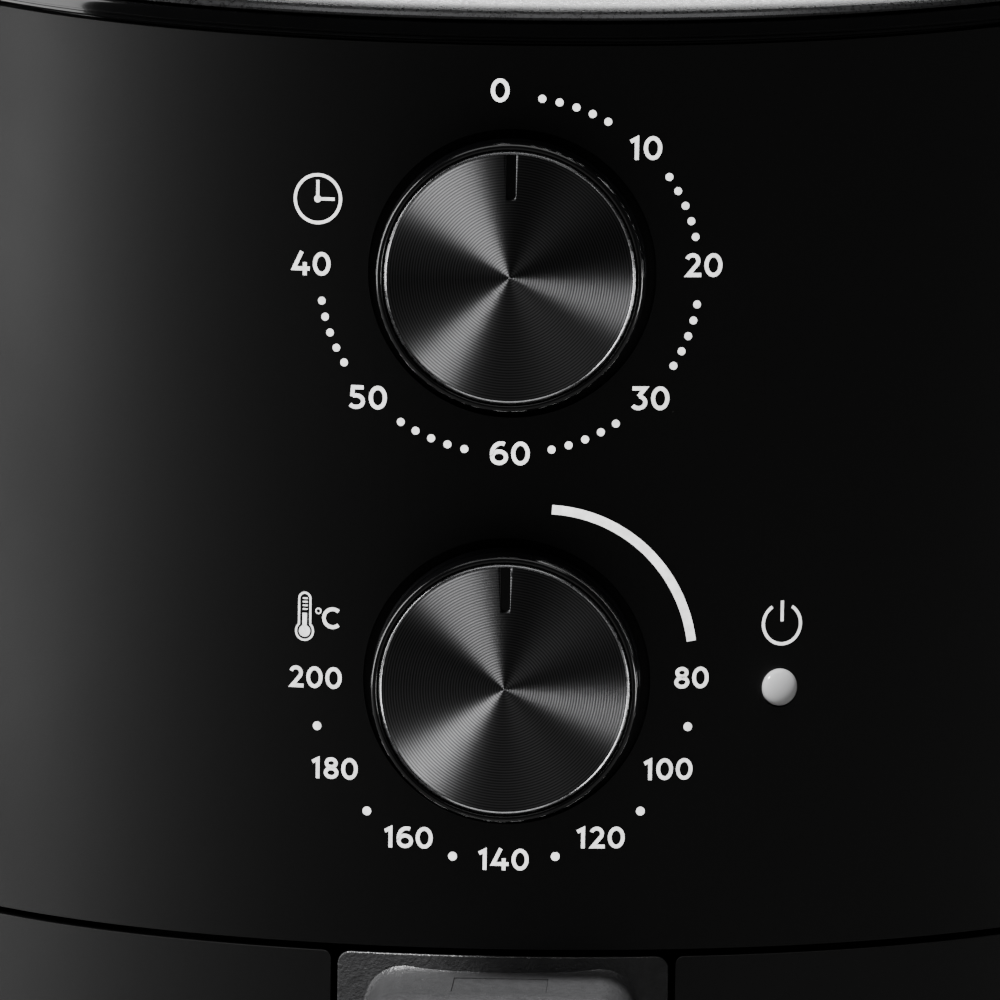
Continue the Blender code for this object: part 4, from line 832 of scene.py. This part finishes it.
class AIR_FRYER_OT_printed_marks(bpy.types.Operator):
    """Print the two scales and their symbols on the drum"""
    bl_idname = "air_fryer.printed_marks"
    bl_label = "Printed marks"

    def execute(self, context):
        height = context.scene.fryer_sizes.print_height
        draws = (self.timer, self.temperature, self.clock, self.thermometer, self.power)
        for name, draw in zip(PRINTS, draws):
            marks = Print(height)
            draw(marks)
            finish(marks.piece(name), "housing", "milky_lens", MATERIALS["marks"])
        return {"FINISHED"}

    @staticmethod
    def timer(marks):
        figures = (("0", -2.7, 35.0), ("10", 25.5, 24.3), ("20", 37.1, 1.9), ("30", 27.0, -23.7),
                   ("60", 0.1, -34.5), ("50", -27.6, -24.4), ("40", -39.3, 1.0))
        for text, u, v in figures:
            write(marks, text, u / 1000, TIMER_Z + v / 1000, 0.00457)
        for middle_turn in (19.8, 66.6, 109.4, 155.9, 203.1, 249.9):
            for dot in range(-2, 3):
                turn = radians(middle_turn + 5.25 * dot)
                marks.disc(-0.0006 + 0.03695 * sin(turn), TIMER_Z - 0.00035 + 0.0343 * cos(turn), 0.00076)

    @staticmethod
    def temperature(marks):
        figures = (("80", 36.0, 0.8), ("100", 31.7, -16.9), ("120", 18.7, -30.1), ("140", 0.0, -34.5),
                   ("160", -18.5, -30.7), ("180", -33.3, -17.9), ("200", -37.5, -0.4))
        for text, u, v in figures:
            write(marks, text, u / 1000, TEMPERATURE_Z + v / 1000, 0.0042)
        dots = ((35.4, -8.7), (26.3, -25.0), (9.9, -33.8), (-9.9, -34.1), (-26.8, -25.9), (-37.0, -9.8))
        for u, v in dots:
            marks.disc(u / 1000, TEMPERATURE_Z + v / 1000, 0.00085)
        line = []
        for step in range(41):
            share = step / 40
            turn = radians(14.1 + 63.4 * share)
            reach = 0.0343 + 0.0024 * share + 0.0027 * share * (1 - share) * 2
            line.append((reach * sin(turn), TEMPERATURE_Z + reach * cos(turn)))
        marks.strip(line, 0.0018)

    @staticmethod
    def clock(marks):
        centre = (-0.0381, TIMER_Z + 0.0135)
        marks.strip(oval(centre, 0.0046, 0.0046, 0, 360, 48)[:-1], 0.00062, True)
        marks.strip([(centre[0], centre[1] + 0.0036), centre], 0.00062)
        marks.strip([centre, (centre[0] + 0.0034, centre[1])], 0.00062)
        marks.disc(centre[0], centre[1], 0.0007)

    @staticmethod
    def thermometer(marks):
        u, top, bulb = -0.0398, TEMPERATURE_Z + 0.01475, TEMPERATURE_Z + 0.0085
        half = 0.00115
        outline = oval((u, top), half, half, 0, 180, 12) + oval((u, bulb), 0.00175, 0.00175, 131, 409, 24)
        marks.strip(outline, 0.0004, True)
        marks.disc(u, bulb, 0.00115)
        marks.strip([(u, bulb), (u, bulb + 0.0035)], 0.0009)
        for tick in range(4):
            level = top + 0.0001 - 0.0007 * tick
            marks.strip([(u - 0.0004, level), (u + 0.0006, level)], 0.0003)
        marks.strip(oval((-0.0370, TEMPERATURE_Z + 0.0125), 0.0005, 0.0005, 0, 360, 16)[:-1], 0.00026, True)
        write(marks, "C", -0.0344, TEMPERATURE_Z + 0.0112, 0.0042)

    @staticmethod
    def power(marks):
        u, v = 0.0543, TEMPERATURE_Z + 0.0109
        marks.strip(oval((u, v), 0.0039, 0.0039, 122, 418, 44), 0.00062)
        marks.strip([(u, v + 0.0005), (u, v + 0.0045)], 0.00062)


class AIR_FRYER_OT_status_lamp(bpy.types.Operator):
    """Make the milky dome of the status lamp"""
    bl_idname = "air_fryer.status_lamp"
    bl_label = "Status lamp"

    def execute(self, context):
        sizes = context.scene.fryer_sizes
        place = Matrix.Rotation(LENS_TURN, 4, "Z") @ Matrix.Rotation(pi / 2, 4, "X")
        place = Matrix.Translation((0, AXIS_Y, LENS.z)) @ place
        inside = RADIUS - sizes.wall - 0.0045
        radius = sizes.lens_radius
        profile = [(0, inside + 0.003)] + near(radius, inside, (-0.8, 3), (-0.8, 0), (0, 0))
        profile.append((radius, RADIUS + 0.0001))
        for step in range(1, 12):
            lift = radians(90 * step / 12)
            profile.append((radius * cos(lift), RADIUS + 0.0001 + 0.0017 * sin(lift)))
        profile.append((0, RADIUS + 0.0018))
        lens = turned("status_lamp_dome", profile, 64, place, 40)
        finish(lens, "housing", "milky_lens", MATERIALS["lens"], "indicator_lens")
        return {"FINISHED"}


# ---- drawer -----------------------------------------------------------------------------------------
class AIR_FRYER_OT_drawer_front(bpy.types.Operator):
    """Make the drawer's curved front with its notch for the handle block"""
    bl_idname = "air_fryer.drawer_front"
    bl_label = "Drawer front"

    def execute(self, context):
        sizes = context.scene.fryer_sizes
        inner = RADIUS - sizes.wall
        front = cylinder("drawer_door", RADIUS, DOOR_LOW.z, DOOR_HIGH.z, 256)
        cut(front, cylinder("door_inside", inner, DOOR_LOW.z - 0.01, DOOR_HIGH.z + 0.01, 256))
        half_angle = asin(DOOR_HIGH.x / RADIUS)
        part = sector("door_sector", half_angle, DOOR_LOW.z - OVERCUT, DOOR_HIGH.z + OVERCUT)
        boolean(front, "INTERSECT", part)
        half = sizes.block_width / 2 + sizes.handle_gap
        low = BLOCK_NOTCH_Z - sizes.handle_gap
        corner = sizes.block_corner + sizes.handle_gap
        top = DOOR_HIGH.z
        flare = 0.0016
        outline = [(-half - flare, top + 0.01), (-half - flare, top)]
        outline += arc((-half - flare, top - flare), flare, 90, 0, 6)
        outline += arc((-half + corner, low + corner), corner, 180, 270, 6)
        outline += arc((half - corner, low + corner), corner, 270, 360, 6)
        outline += arc((half + flare, top - flare), flare, 180, 90, 6)
        outline += [(half + flare, top + 0.01)]
        cut(front, outline_solid("handle_notch", outline, FRONT_Y - 0.02, FRONT_Y + 0.03, "XZ"))
        bevelled(front, 0.0007, 3, 50)
        z = (DOOR_LOW.z + DOOR_HIGH.z) / 2
        end_y = middle("drawer_inner_cover").y - 0.0013
        for x in (-POST_X, POST_X):
            start_y = AXIS_Y - sqrt(inner ** 2 - x ** 2) - 0.001
            weld(front, rod("screw_post", POST_RADIUS, (x, start_y, z), (x, end_y, z), 32))
        finish(evened(front), "drawer", "matte_black", MATERIALS["body"], "drawer_front")
        return {"FINISHED"}


class AIR_FRYER_OT_handle(bpy.types.Operator):
    """Make the basket's handle: curved block, arm and hooked grip in one moulding"""
    bl_idname = "air_fryer.handle"
    bl_label = "Handle"

    def execute(self, context):
        sizes = context.scene.fryer_sizes
        top = BLOCK_HIGH.z
        half = sizes.block_width / 2
        half_high, centre_z = (top - BLOCK_NOTCH_Z) / 2, (top + BLOCK_NOTCH_Z) / 2
        outline = rounded_box(half, half_high, sizes.block_corner, 6, (0, centre_z))
        plate = outline_solid("handle_moulding", outline, FRONT_Y - 0.02, BLOCK_HIGH.y, "XZ")
        boolean(plate, "INTERSECT", cylinder("drum_round", RADIUS, BLOCK_NOTCH_Z - 0.02, top + 0.02, 512))
        bevelled(plate, 0.0006, 3, 40)
        grip = lofted("grip_form", self.grip_rings(sizes), 40)
        weld(plate, grip)
        low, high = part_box("release_button")
        pin = middle("latch_pin")
        gap = 0.00006
        cut(plate, block("button_pocket", (low.x - gap, low.y - gap, high.z - 0.0082),
                         (high.x + gap, high.y + gap, top + 0.01)),
            block("latch_channel", (-0.0065, low.y - 0.0005, pin.z - 0.0075),
                  (0.0065, BLOCK_HIGH.y + 0.01, pin.z + 0.005)))
        finish(evened(plate, 40), "drawer", "satin_grey", MATERIALS["handle"], "basket_handle")
        self.button(low, high)
        return {"FINISHED"}

    @staticmethod
    def button(low, high):
        """The release button: a cap flush with the arm and a stem to the latch."""
        top = high.z - BUTTON_DROP
        cap = block("release_button_cap", (low.x, low.y, top - 0.0036), (high.x, high.y, top))
        bevelled(cap, 0.00015, 2)
        centre = (low.y + high.y) / 2
        weld(cap, block("stem", (-0.004, centre - 0.003, low.z), (0.004, centre, top - 0.001)))
        finish(evened(cap, 40), "button", "satin_grey", MATERIALS["handle"], "release_button")

    @staticmethod
    def grip_rings(sizes):
        """Rounded sections from the block, along the arm, round the nose and down the grip."""
        arm_top = BLOCK_HIGH.z - 0.0033
        thick, reach = 0.0165, RADIUS + 0.050
        half = 0.026
        front = AXIS_Y - reach
        rings = []
        corner = sizes.grip_corner

        def section(centre, normal_angle, half_wide, half_thick, rounding):
            """normal_angle 0 looks forward along the arm, 90 looks down along the grip."""
            tilt = radians(normal_angle)
            points = []
            for a, b in rounded_box(half_wide, half_thick, rounding, 6):
                points.append(Vector((a, centre[0] - b * sin(tilt), centre[1] + b * cos(tilt))))
            return points

        mid = arm_top - thick / 2
        flare = 0.003
        for step in range(6):
            t = radians(90 * step / 5)
            spread = flare * (1 - sin(t))
            y = FRONT_Y + 0.0008 - flare * (1 - cos(t))
            ring = section((y, mid), 0, half + spread, thick / 2 + spread, corner + spread)
            for point in ring:
                point.y += RADIUS - sqrt(RADIUS ** 2 - point.x ** 2)
            rings.append(ring)
        grip_thick = 0.022
        bend_y, bend_z = front + grip_thick + 0.004, arm_top - thick - 0.004
        rings.append(section((bend_y + 0.002, mid), 0, half, thick / 2, corner))
        for step in range(11):
            turn = 90 * step / 10
            share = step / 10
            half_thick = (thick + (grip_thick - thick) * share) / 2
            radius = 0.004 + half_thick
            t = radians(turn)
            centre = (bend_y - radius * sin(t), bend_z + radius * cos(t))
            rings.append(section(centre, turn, half - 0.0006 * share, half_thick, corner))
        grip_mid = front + grip_thick / 2
        end_z = BLOCK_LOW.z
        tip = 0.009
        for share in (0.25, 0.5, 0.75, 1.0):
            z = bend_z + (end_z + tip - bend_z) * share
            rings.append(section((grip_mid, z), 90, half - 0.0006 - 0.0014 * share, grip_thick / 2, corner))
        for step in range(1, 8):
            t = radians(90 * step / 8)
            inset = tip * (1 - cos(t))
            centre = (grip_mid, end_z + tip - tip * sin(t))
            rings.append(section(centre, 90, half - 0.002 - inset * 0.8, grip_thick / 2 - inset * 0.95,
                                 max(0.001, corner - inset * 0.5)))
        return rings


# ---- stage ------------------------------------------------------------------------------------------
# for each dial, the lamps that draw its bright fans: degrees clockwise from the top, size and power
FANS = {
    "timer": ((318, 0.15, 0.95), (218, 0.07, 0.40), (109, 0.085, 0.28)),
    "temperature": ((326, 0.14, 0.70), (219, 0.085, 0.66), (112, 0.085, 0.27)),
}


def lamp(name, place, aim, size, power, shape="RECTANGLE"):
    data = bpy.data.lights.new(name, "AREA")
    data.shape = shape
    data.size, data.size_y = size
    data.energy = power
    made = bpy.data.objects.new(name, data)
    bpy.context.collection.objects.link(made)
    made.location = place
    made.rotation_euler = (Vector(aim) - Vector(place)).to_track_quat("-Z", "Y").to_euler()
    made.visible_camera = False
    return made


class AIR_FRYER_OT_stage(bpy.types.Operator):
    """Lay the floor, hang the soft lights and place the camera"""
    bl_idname = "air_fryer.stage"
    bl_label = "Stage"

    def execute(self, context):
        tones = context.scene.fryer_colours
        deselect()
        bpy.ops.mesh.primitive_plane_add(size=8, location=(0, 1.0, 0))
        floor = added("studio_floor")
        surface = Surface("studio_floor_paint", tones.floor, 0.6)
        surface.vary_colour(surface.noise(3.0, 4.0), shaded(tones.floor, 0.97), shaded(tones.floor, 1.03))
        surface.bump(surface.noise(400.0), 0.0001)
        floor.data.materials.append(surface.material)
        world = bpy.data.worlds.new("studio")
        world.use_nodes = True
        world.node_tree.nodes["Background"].inputs["Color"].default_value = (1, 1, 1, 1)
        world.node_tree.nodes["Background"].inputs["Strength"].default_value = 0.045
        context.scene.world = world
        target = Vector((0, AXIS_Y, 0.1965))
        faces = [bpy.data.objects["timer_face"], bpy.data.objects["temperature_face"]]
        prints = [bpy.data.objects[name] for name in PRINTS]
        handle = [bpy.data.objects["handle_moulding"], bpy.data.objects["release_button_cap"]]
        self.only(lamp("soft_left", (-1.5, AXIS_Y + 0.1, 0.45), target, (0.8, 1.4), 12), faces, "EXCLUDE")
        self.only(lamp("soft_above", (0, AXIS_Y - 0.1, 1.7), target, (1.6, 1.2), 8), faces, "EXCLUDE")
        lamp("back_strip", (0.3, AXIS_Y + 1.6, 0.9), target, (1.4, 0.35), 10)
        for dial, z in (("timer", TIMER_Z), ("temperature", TEMPERATURE_Z)):
            centre = Vector((0, FACE_LOW.y, z))
            for index, (turn, size, power) in enumerate(FANS[dial]):
                around_dial, off = radians(turn), radians(40)
                away = Vector((sin(off) * sin(around_dial), -cos(off), sin(off) * cos(around_dial)))
                place = centre + away * 0.3
                made = lamp(f"{dial}_fan_{index + 1}", place, centre, (size, size), power, "DISK")
                self.only(made, [bpy.data.objects[dial + "_face"]])
        self.only(lamp("print_fill", (-0.15, AXIS_Y - 1.7, 0.5), target, (0.6, 0.6), 60), prints)
        rims = [bpy.data.objects[dial + part] for dial in FANS for part in ("_knob_body", "_face_edge")]
        self.only(lamp("rim_left", (-1.0, AXIS_Y - 0.2, 0.55), (0, FACE_LOW.y, 0.21), (0.35, 1.0), 9), rims)
        self.only(lamp("rim_right", (0.8, AXIS_Y - 0.3, 0.06), (0, FACE_LOW.y, 0.21), (0.1, 0.4), 4), rims)
        lens = [bpy.data.objects["status_lamp_dome"]]
        lens_light = lamp("lens_light", LENS + Vector((-0.28, -0.34, 0.42)), LENS, (0.12, 0.12), 5)
        self.only(lens_light, lens)
        door = [bpy.data.objects["drawer_door"]]
        edge_strip = lamp("edge_strip", (-0.35, AXIS_Y - 0.8, 1.35), (0, FRONT_Y, 0.11), (1.0, 0.16), 9)
        self.only(edge_strip, door + handle)
        grip_light = lamp("grip_light", (-0.35, AXIS_Y - 0.42, 1.2), (0, AXIS_Y - 0.17, 0.11), (0.3, 0.3), 45)
        self.only(grip_light, handle)
        self.camera(context, target)
        return {"FINISHED"}

    @staticmethod
    def only(light, pieces, state="INCLUDE"):
        """Let a lamp reach only these pieces, or all but these."""
        reached = bpy.data.collections.new(light.name + "_reaches")
        for piece in pieces:
            reached.objects.link(piece)
        for entry in reached.collection_objects:
            entry.light_linking.link_state = state
        light.light_linking.receiver_collection = reached

    @staticmethod
    def camera(context, target):
        azimuth, elevation, roll, distance = radians(1.5), radians(5.2), radians(0.8), 1.6
        data = bpy.data.cameras.new("view_camera")
        data.lens, data.sensor_width = 274.7, 36.0
        data.shift_x, data.shift_y = -0.02725, 0.001
        data.clip_start, data.clip_end = 0.05, 30
        made = bpy.data.objects.new("view_camera", data)
        context.collection.objects.link(made)
        away = Vector((cos(elevation) * sin(azimuth), -cos(elevation) * cos(azimuth), sin(elevation)))
        made.location = target + away * distance
        base = (-away).to_track_quat("-Z", "Y").to_matrix()
        made.rotation_euler = (base @ Matrix.Rotation(roll, 3, "Z")).to_euler()
        context.scene.camera = made


# ---- base, rear and inside --------------------------------------------------------------------------
def pan_head(node, body, head_height, downwards=False):
    """A screw in the place of a CAD screw: threaded shank, rounded head and cross recess."""
    low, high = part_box(node)
    centre = (low + high) / 2
    if downwards:
        place = Matrix.Translation((centre.x, centre.y, high.z)) @ Matrix.Rotation(pi, 4, "X")
        head, total = (high.x - low.x) / 2, high.z - low.z
    else:
        place = Matrix.Translation((centre.x, low.y, centre.z)) @ Matrix.Rotation(-pi / 2, 4, "X")
        head, total = (high.x - low.x) / 2, high.y - low.y
    shank, seat = head * 0.48, total - head_height
    profile = [(0, 0), (shank * 0.5, 0), (shank * 0.9, 0.0006)]
    for step in range(int((seat - 2 * SCREW_THREAD) / SCREW_THREAD)):
        profile += [(shank, 0.0009 + SCREW_THREAD * step), (shank * 0.82, 0.0013 + SCREW_THREAD * step)]
    profile += [(shank * 0.95, seat), (head - 0.0001, seat), (head, seat + 0.0001)]
    profile.append((head, seat + head_height * 0.3))
    for lift in (25, 50, 72):
        t = radians(lift)
        profile.append((head * cos(t) ** 0.7, seat + head_height * (0.3 + 0.7 * sin(t))))
    profile.append((0, total))
    piece = turned(node + "_turned", profile, 32)
    for x, y in ((head * 0.62, 0.00035), (0.00035, head * 0.62)):
        cut(piece, block("recess", (-x, -y, total - 0.001), (x, y, total + 0.001)))
    piece.matrix_world = place
    settle(piece)
    finish(tidy(piece, 35), body, "steel", MATERIALS["steel"], node)


class AIR_FRYER_OT_base(bpy.types.Operator):
    """Make the base pan with its vents and rim groove, and its screws"""
    bl_idname = "air_fryer.base"
    bl_label = "Base"

    def execute(self, context):
        low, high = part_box("base_pan")
        outer = (high.x - low.x) / 2
        inner, floor = outer - 0.003, low.z + 0.003
        profile = [(0, low.z + 0.0008)]
        profile += near(outer, low.z, (-11.5, 0.8), (-12.2, 0), (-3, 0), (-1.3, 0.4), (-0.4, 1.2), (0, 2.4),
                        (0, 6.2), (-0.6, 6.7), (-0.6, 7.7), (0, 8.2))
        profile += [(outer, high.z), (inner, high.z), (inner, floor), (0, floor)]
        base = turned("base_pan_moulding", profile, 192, Matrix.Translation((0, AXIS_Y, 0)))
        screws = ("base_screw_left", "base_screw_right", "base_screw_rear")
        for node in screws:
            at = middle(node)
            cut(base, rod("counterbore", 0.0044, (at.x, at.y, low.z - 0.001), (at.x, at.y, low.z + 0.0025), 32),
                rod("bore", 0.0023, (at.x, at.y, low.z), (at.x, at.y, floor + 0.001), 24))
        for row in (-2, -1, 0, 1, 2):
            half = 0.030 - 0.006 * abs(row)
            outline = rounded_box(half, 0.0022, 0.0021, 5, (0, AXIS_Y + 0.010 * row))
            cut(base, outline_solid("vent", outline, low.z - 0.001, floor + 0.001))
        finish(evened(base, 40), "housing", "matte_black", MATERIALS["body"], "base_pan")
        for node in screws:
            pan_head(node, "housing", 0.0022, True)
        return {"FINISHED"}


class AIR_FRYER_OT_feet(bpy.types.Operator):
    """Make the four rubber feet"""
    bl_idname = "air_fryer.feet"
    bl_label = "Feet"

    def execute(self, context):
        names = ("foot_front_left", "foot_front_right", "foot_rear_left", "foot_rear_right")
        low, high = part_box(names[0])
        radius, top = (high.x - low.x) / 2, high.z
        profile = [(0, 0.0009), (radius * 0.3, 0.0009), (radius * 0.36, 0.0004), (radius * 0.44, 0.0009),
                   (radius * 0.62, 0.0009), (radius * 0.7, 0)]
        profile += near(radius, 0, (-1.4, 0), (-0.4, 0.4), (0, 1.3), (-0.3, 2.6))
        profile += near(radius, top, (0, -0.5), (-0.4, 0)) + [(0, top)]
        foot = turned("foot_pad", profile, 48)
        places = [Matrix.Translation((middle(node).x, middle(node).y, 0)) for node in names]
        for piece, node in zip(copies(foot, "foot_pad", places), names):
            finish(tidy(piece, 40), "housing", "rubber", MATERIALS["rubber"], node)
        return {"FINISHED"}


class AIR_FRYER_OT_rear(bpy.types.Operator):
    """Make the louvred grille and the ribbed cord gland at the back"""
    bl_idname = "air_fryer.rear"
    bl_label = "Rear"

    def execute(self, context):
        low, high = GRILLE_LOW, GRILLE_HIGH
        outer, inner = RADIUS - 0.0002, RADIUS - 0.0028
        grille = cylinder("rear_grille", outer, low.z, high.z, 256)
        cut(grille, cylinder("grille_inside", inner, low.z - 0.01, high.z + 0.01, 256))
        boolean(grille, "INTERSECT", block("grille_part", (low.x, AXIS_Y + 0.09, low.z - 0.01),
                                           (high.x, AXIS_Y + 0.2, high.z + 0.01)))
        side = high.x - 0.008
        pitch = (high.z - low.z - 0.008) / GRILLE_SLOTS
        for index in range(GRILLE_SLOTS):
            z = low.z + 0.004 + pitch * (index + 0.5)
            outline = rounded_box(side, pitch * 0.28, 0.0018, 5, (0, z))
            cut(grille, outline_solid("slot", outline, AXIS_Y + 0.09, AXIS_Y + 0.2, "XZ"))
        bevelled(grille, 0.0004, 2, 50)
        for index in range(GRILLE_SLOTS):
            z = low.z + 0.004 + pitch * (index + 0.5)
            rings = []
            for step in range(17):
                turn = asin(side / RADIUS) * 1.01 * (step / 8 - 1)
                rings.append([on_drum(pi - turn, outer - inset, z + lift) for inset, lift in
                              ((0.0003, -0.0012), (0.0004, -0.0006), (0.0023, 0.0018), (0.0022, 0.0011))])
            weld(grille, lofted("louvre", rings))
        finish(evened(grille, 35), "housing", "matte_black", MATERIALS["body"], "exhaust_grille")
        low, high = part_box("cord_gland")
        flange = (high.x - low.x) / 2
        body, bore = flange - 0.002, 0.0035
        inside, rear, skin = low.y - AXIS_Y, high.y - AXIS_Y, RADIUS - 0.003 - 0.0012
        profile = [(bore, inside), (flange, inside), (flange, skin), (body, skin), (body, RADIUS + 0.0003)]
        profile += near(flange, RADIUS, (-0.2, 0.3), (0, 0.6), (-0.3, 1.2))
        for step in range(3):
            profile += near(body, RADIUS + 0.0014 + 0.0014 * step, (-1.2, 0), (-1.2, 0.5), (-0.2, 0.7),
                            (-0.2, 1.2))
        profile += [(body - 0.001, rear - 0.0001), (bore + 0.0004, rear), (bore, rear - 0.0004)]
        place = Matrix.Translation((0, AXIS_Y, middle("cord_gland").z)) @ Matrix.Rotation(-pi / 2, 4, "X")
        gland = turned("ribbed_gland", profile, 64, place, 35)
        finish(gland, "housing", "rubber", MATERIALS["rubber"], "cord_gland")
        return {"FINISHED"}


class AIR_FRYER_OT_basket(bpy.types.Operator):
    """Make the coated drawer pan, the perforated basket and the screws of the drawer"""
    bl_idname = "air_fryer.basket"
    bl_label = "Basket"

    def execute(self, context):
        low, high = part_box("drawer_pan")
        rim = (high.x - low.x) / 2
        radius, sheet = rim - 0.0025, 0.0012
        profile = [(0, low.z)]
        profile += arc((radius - 0.008, low.z + 0.008), 0.008, -90, 0, 8)
        profile.append((radius, high.z - 0.0015))
        profile += near(rim, high.z, (-0.4, -1.5), (0, -1.1), (0, -0.4), (-0.4, 0))
        profile += near(radius - sheet, high.z, (0.4, 0), (0, -0.4))
        profile += arc((radius - 0.0085, low.z + 0.0085), 0.0085 - sheet, 0, -90, 8)
        profile.append((0, low.z + sheet))
        pan = turned("drawer_pan_pressing", profile, 128, Matrix.Translation((0, AXIS_Y, 0)), 35)
        finish(pan, "drawer", "coated_black", MATERIALS["nonstick"], "drawer_pan")
        low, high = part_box("basket")
        flange = (high.x - low.x) / 2
        outer, wall, seat = flange - 0.006, 0.001, DOOR_HIGH.z + 0.0014 - 0.010 + HOLE_GAP
        profile = [(0, low.z)] + arc((outer - 0.006, low.z + 0.006), 0.006, -90, 0, 8)
        profile += [(outer, seat), (flange, seat), (flange, seat + wall), (outer, seat + wall)]
        profile += near(outer, high.z, (0, -0.3), (-0.3, 0)) + near(outer - wall, high.z, (0.3, 0), (0, -0.3))
        profile += arc((outer - 0.0065, low.z + 0.0065), 0.0065 - wall, 0, -90, 8)
        profile.append((0, low.z + wall))
        basket = turned("basket_pressing", profile, 128, Matrix.Translation((0, AXIS_Y, 0)), 35)
        tools = []
        for index in range(16):
            turn = 2 * pi * (index + 0.5) / 16
            start, far, half = (0.030, 0.080, 0.003) if index % 2 else (0.046, 0.080, 0.0022)
            outline = rounded_box((far - start) / 2, half, half * 0.98, 5, ((far + start) / 2, 0))
            slot = outline_solid("slot", outline, low.z - 0.005, low.z + 0.004)
            slot.matrix_world = Matrix.Translation((0, AXIS_Y, 0)) @ Matrix.Rotation(turn, 4, "Z")
            tools.append(settle(slot))
        for index in range(32):
            turn = 2 * pi * (index + 0.5) / 32
            tools.append(rod("side_hole", 0.0025, on_drum(turn, outer - 0.004, low.z + 0.016),
                             on_drum(turn, outer + 0.003, low.z + 0.016), 16))
        cut(basket, joined("holes", tools))
        finish(tidy(basket, 35), "drawer", "coated_black", MATERIALS["nonstick"], "basket")
        for node in ("cover_screw_left", "cover_screw_right", "handle_screw_left", "handle_screw_right"):
            pan_head(node, "drawer", 0.0016)
        return {"FINISHED"}


# ---- carried-over pieces ----------------------------------------------------------------------------
CARRIED = {
    "body": ["drawer_inner_cover"],
    "steel": ["latch_pin", "latch_spring", "release_latch", "strike_plate",
              "basket_bracket", "pan_bracket", "timer_shaft", "temperature_shaft", "timer_bell", "motor_bracket",
              "upper_bearing_bridge", "motor_rotor", "motor_shaft", "element_bracket_1", "element_bracket_2"],
    "dark_steel": ["exhaust_duct", "heating_element", "motor_stator"],
    "aluminium": ["chamber_liner", "heating_hood", "hot_air_fan"],
    "copper": ["motor_coil", "thermostat_capillary"],
    "brass": ["fan_nut"],
    "clear": ["indicator_lamp"],
    "plastic_white": ["timer_case", "glide_strip_left", "glide_strip_right"],
    "plastic_cream": ["thermostat_body", "cooling_fan"],
}


class AIR_FRYER_OT_carried_finishes(bpy.types.Operator):
    """Give every piece that keeps its own shape its finish"""
    bl_idname = "air_fryer.carried_finishes"
    bl_label = "Carried finishes"

    def execute(self, context):
        for material, nodes in CARRIED.items():
            for node in nodes:
                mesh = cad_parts[node].data
                mesh.materials.clear()
                mesh.materials.append(MATERIALS[material])
        return {"FINISHED"}


# ---- add-on -----------------------------------------------------------------------------------------
OPERATORS = (AIR_FRYER_OT_carried_finishes, AIR_FRYER_OT_drum, AIR_FRYER_OT_lid, AIR_FRYER_OT_knobs,
             AIR_FRYER_OT_printed_marks, AIR_FRYER_OT_status_lamp, AIR_FRYER_OT_drawer_front, AIR_FRYER_OT_handle,
             AIR_FRYER_OT_base, AIR_FRYER_OT_feet, AIR_FRYER_OT_rear, AIR_FRYER_OT_basket, AIR_FRYER_OT_stage)


class AIR_FRYER_PT_panel(bpy.types.Panel):
    bl_label = "Air fryer"
    bl_idname = "AIR_FRYER_PT_panel"
    bl_space_type = "VIEW_3D"
    bl_region_type = "UI"
    bl_category = "Air fryer"

    def draw(self, context):
        for operator in OPERATORS:
            self.layout.operator(operator.bl_idname)
        for group in (context.scene.fryer_sizes, context.scene.fryer_colours):
            for name in group.bl_rna.properties.keys():
                if name not in {"rna_type", "name"}:
                    self.layout.prop(group, name)


CLASSES = (FryerSizes, FryerColours, *OPERATORS, AIR_FRYER_PT_panel)


def register():
    for item in CLASSES:
        bpy.utils.register_class(item)
    bpy.types.Scene.fryer_sizes = bpy.props.PointerProperty(type=FryerSizes)
    bpy.types.Scene.fryer_colours = bpy.props.PointerProperty(type=FryerColours)


def unregister():
    del bpy.types.Scene.fryer_colours
    del bpy.types.Scene.fryer_sizes
    for item in reversed(CLASSES):
        bpy.utils.unregister_class(item)


def main():
    register()
    make_materials(bpy.context.scene.fryer_colours)
    for operator in OPERATORS:
        group, name = operator.bl_idname.split(".")
        getattr(getattr(bpy.ops, group), name)()
    deselect()


if __name__ == "__main__":
    main()
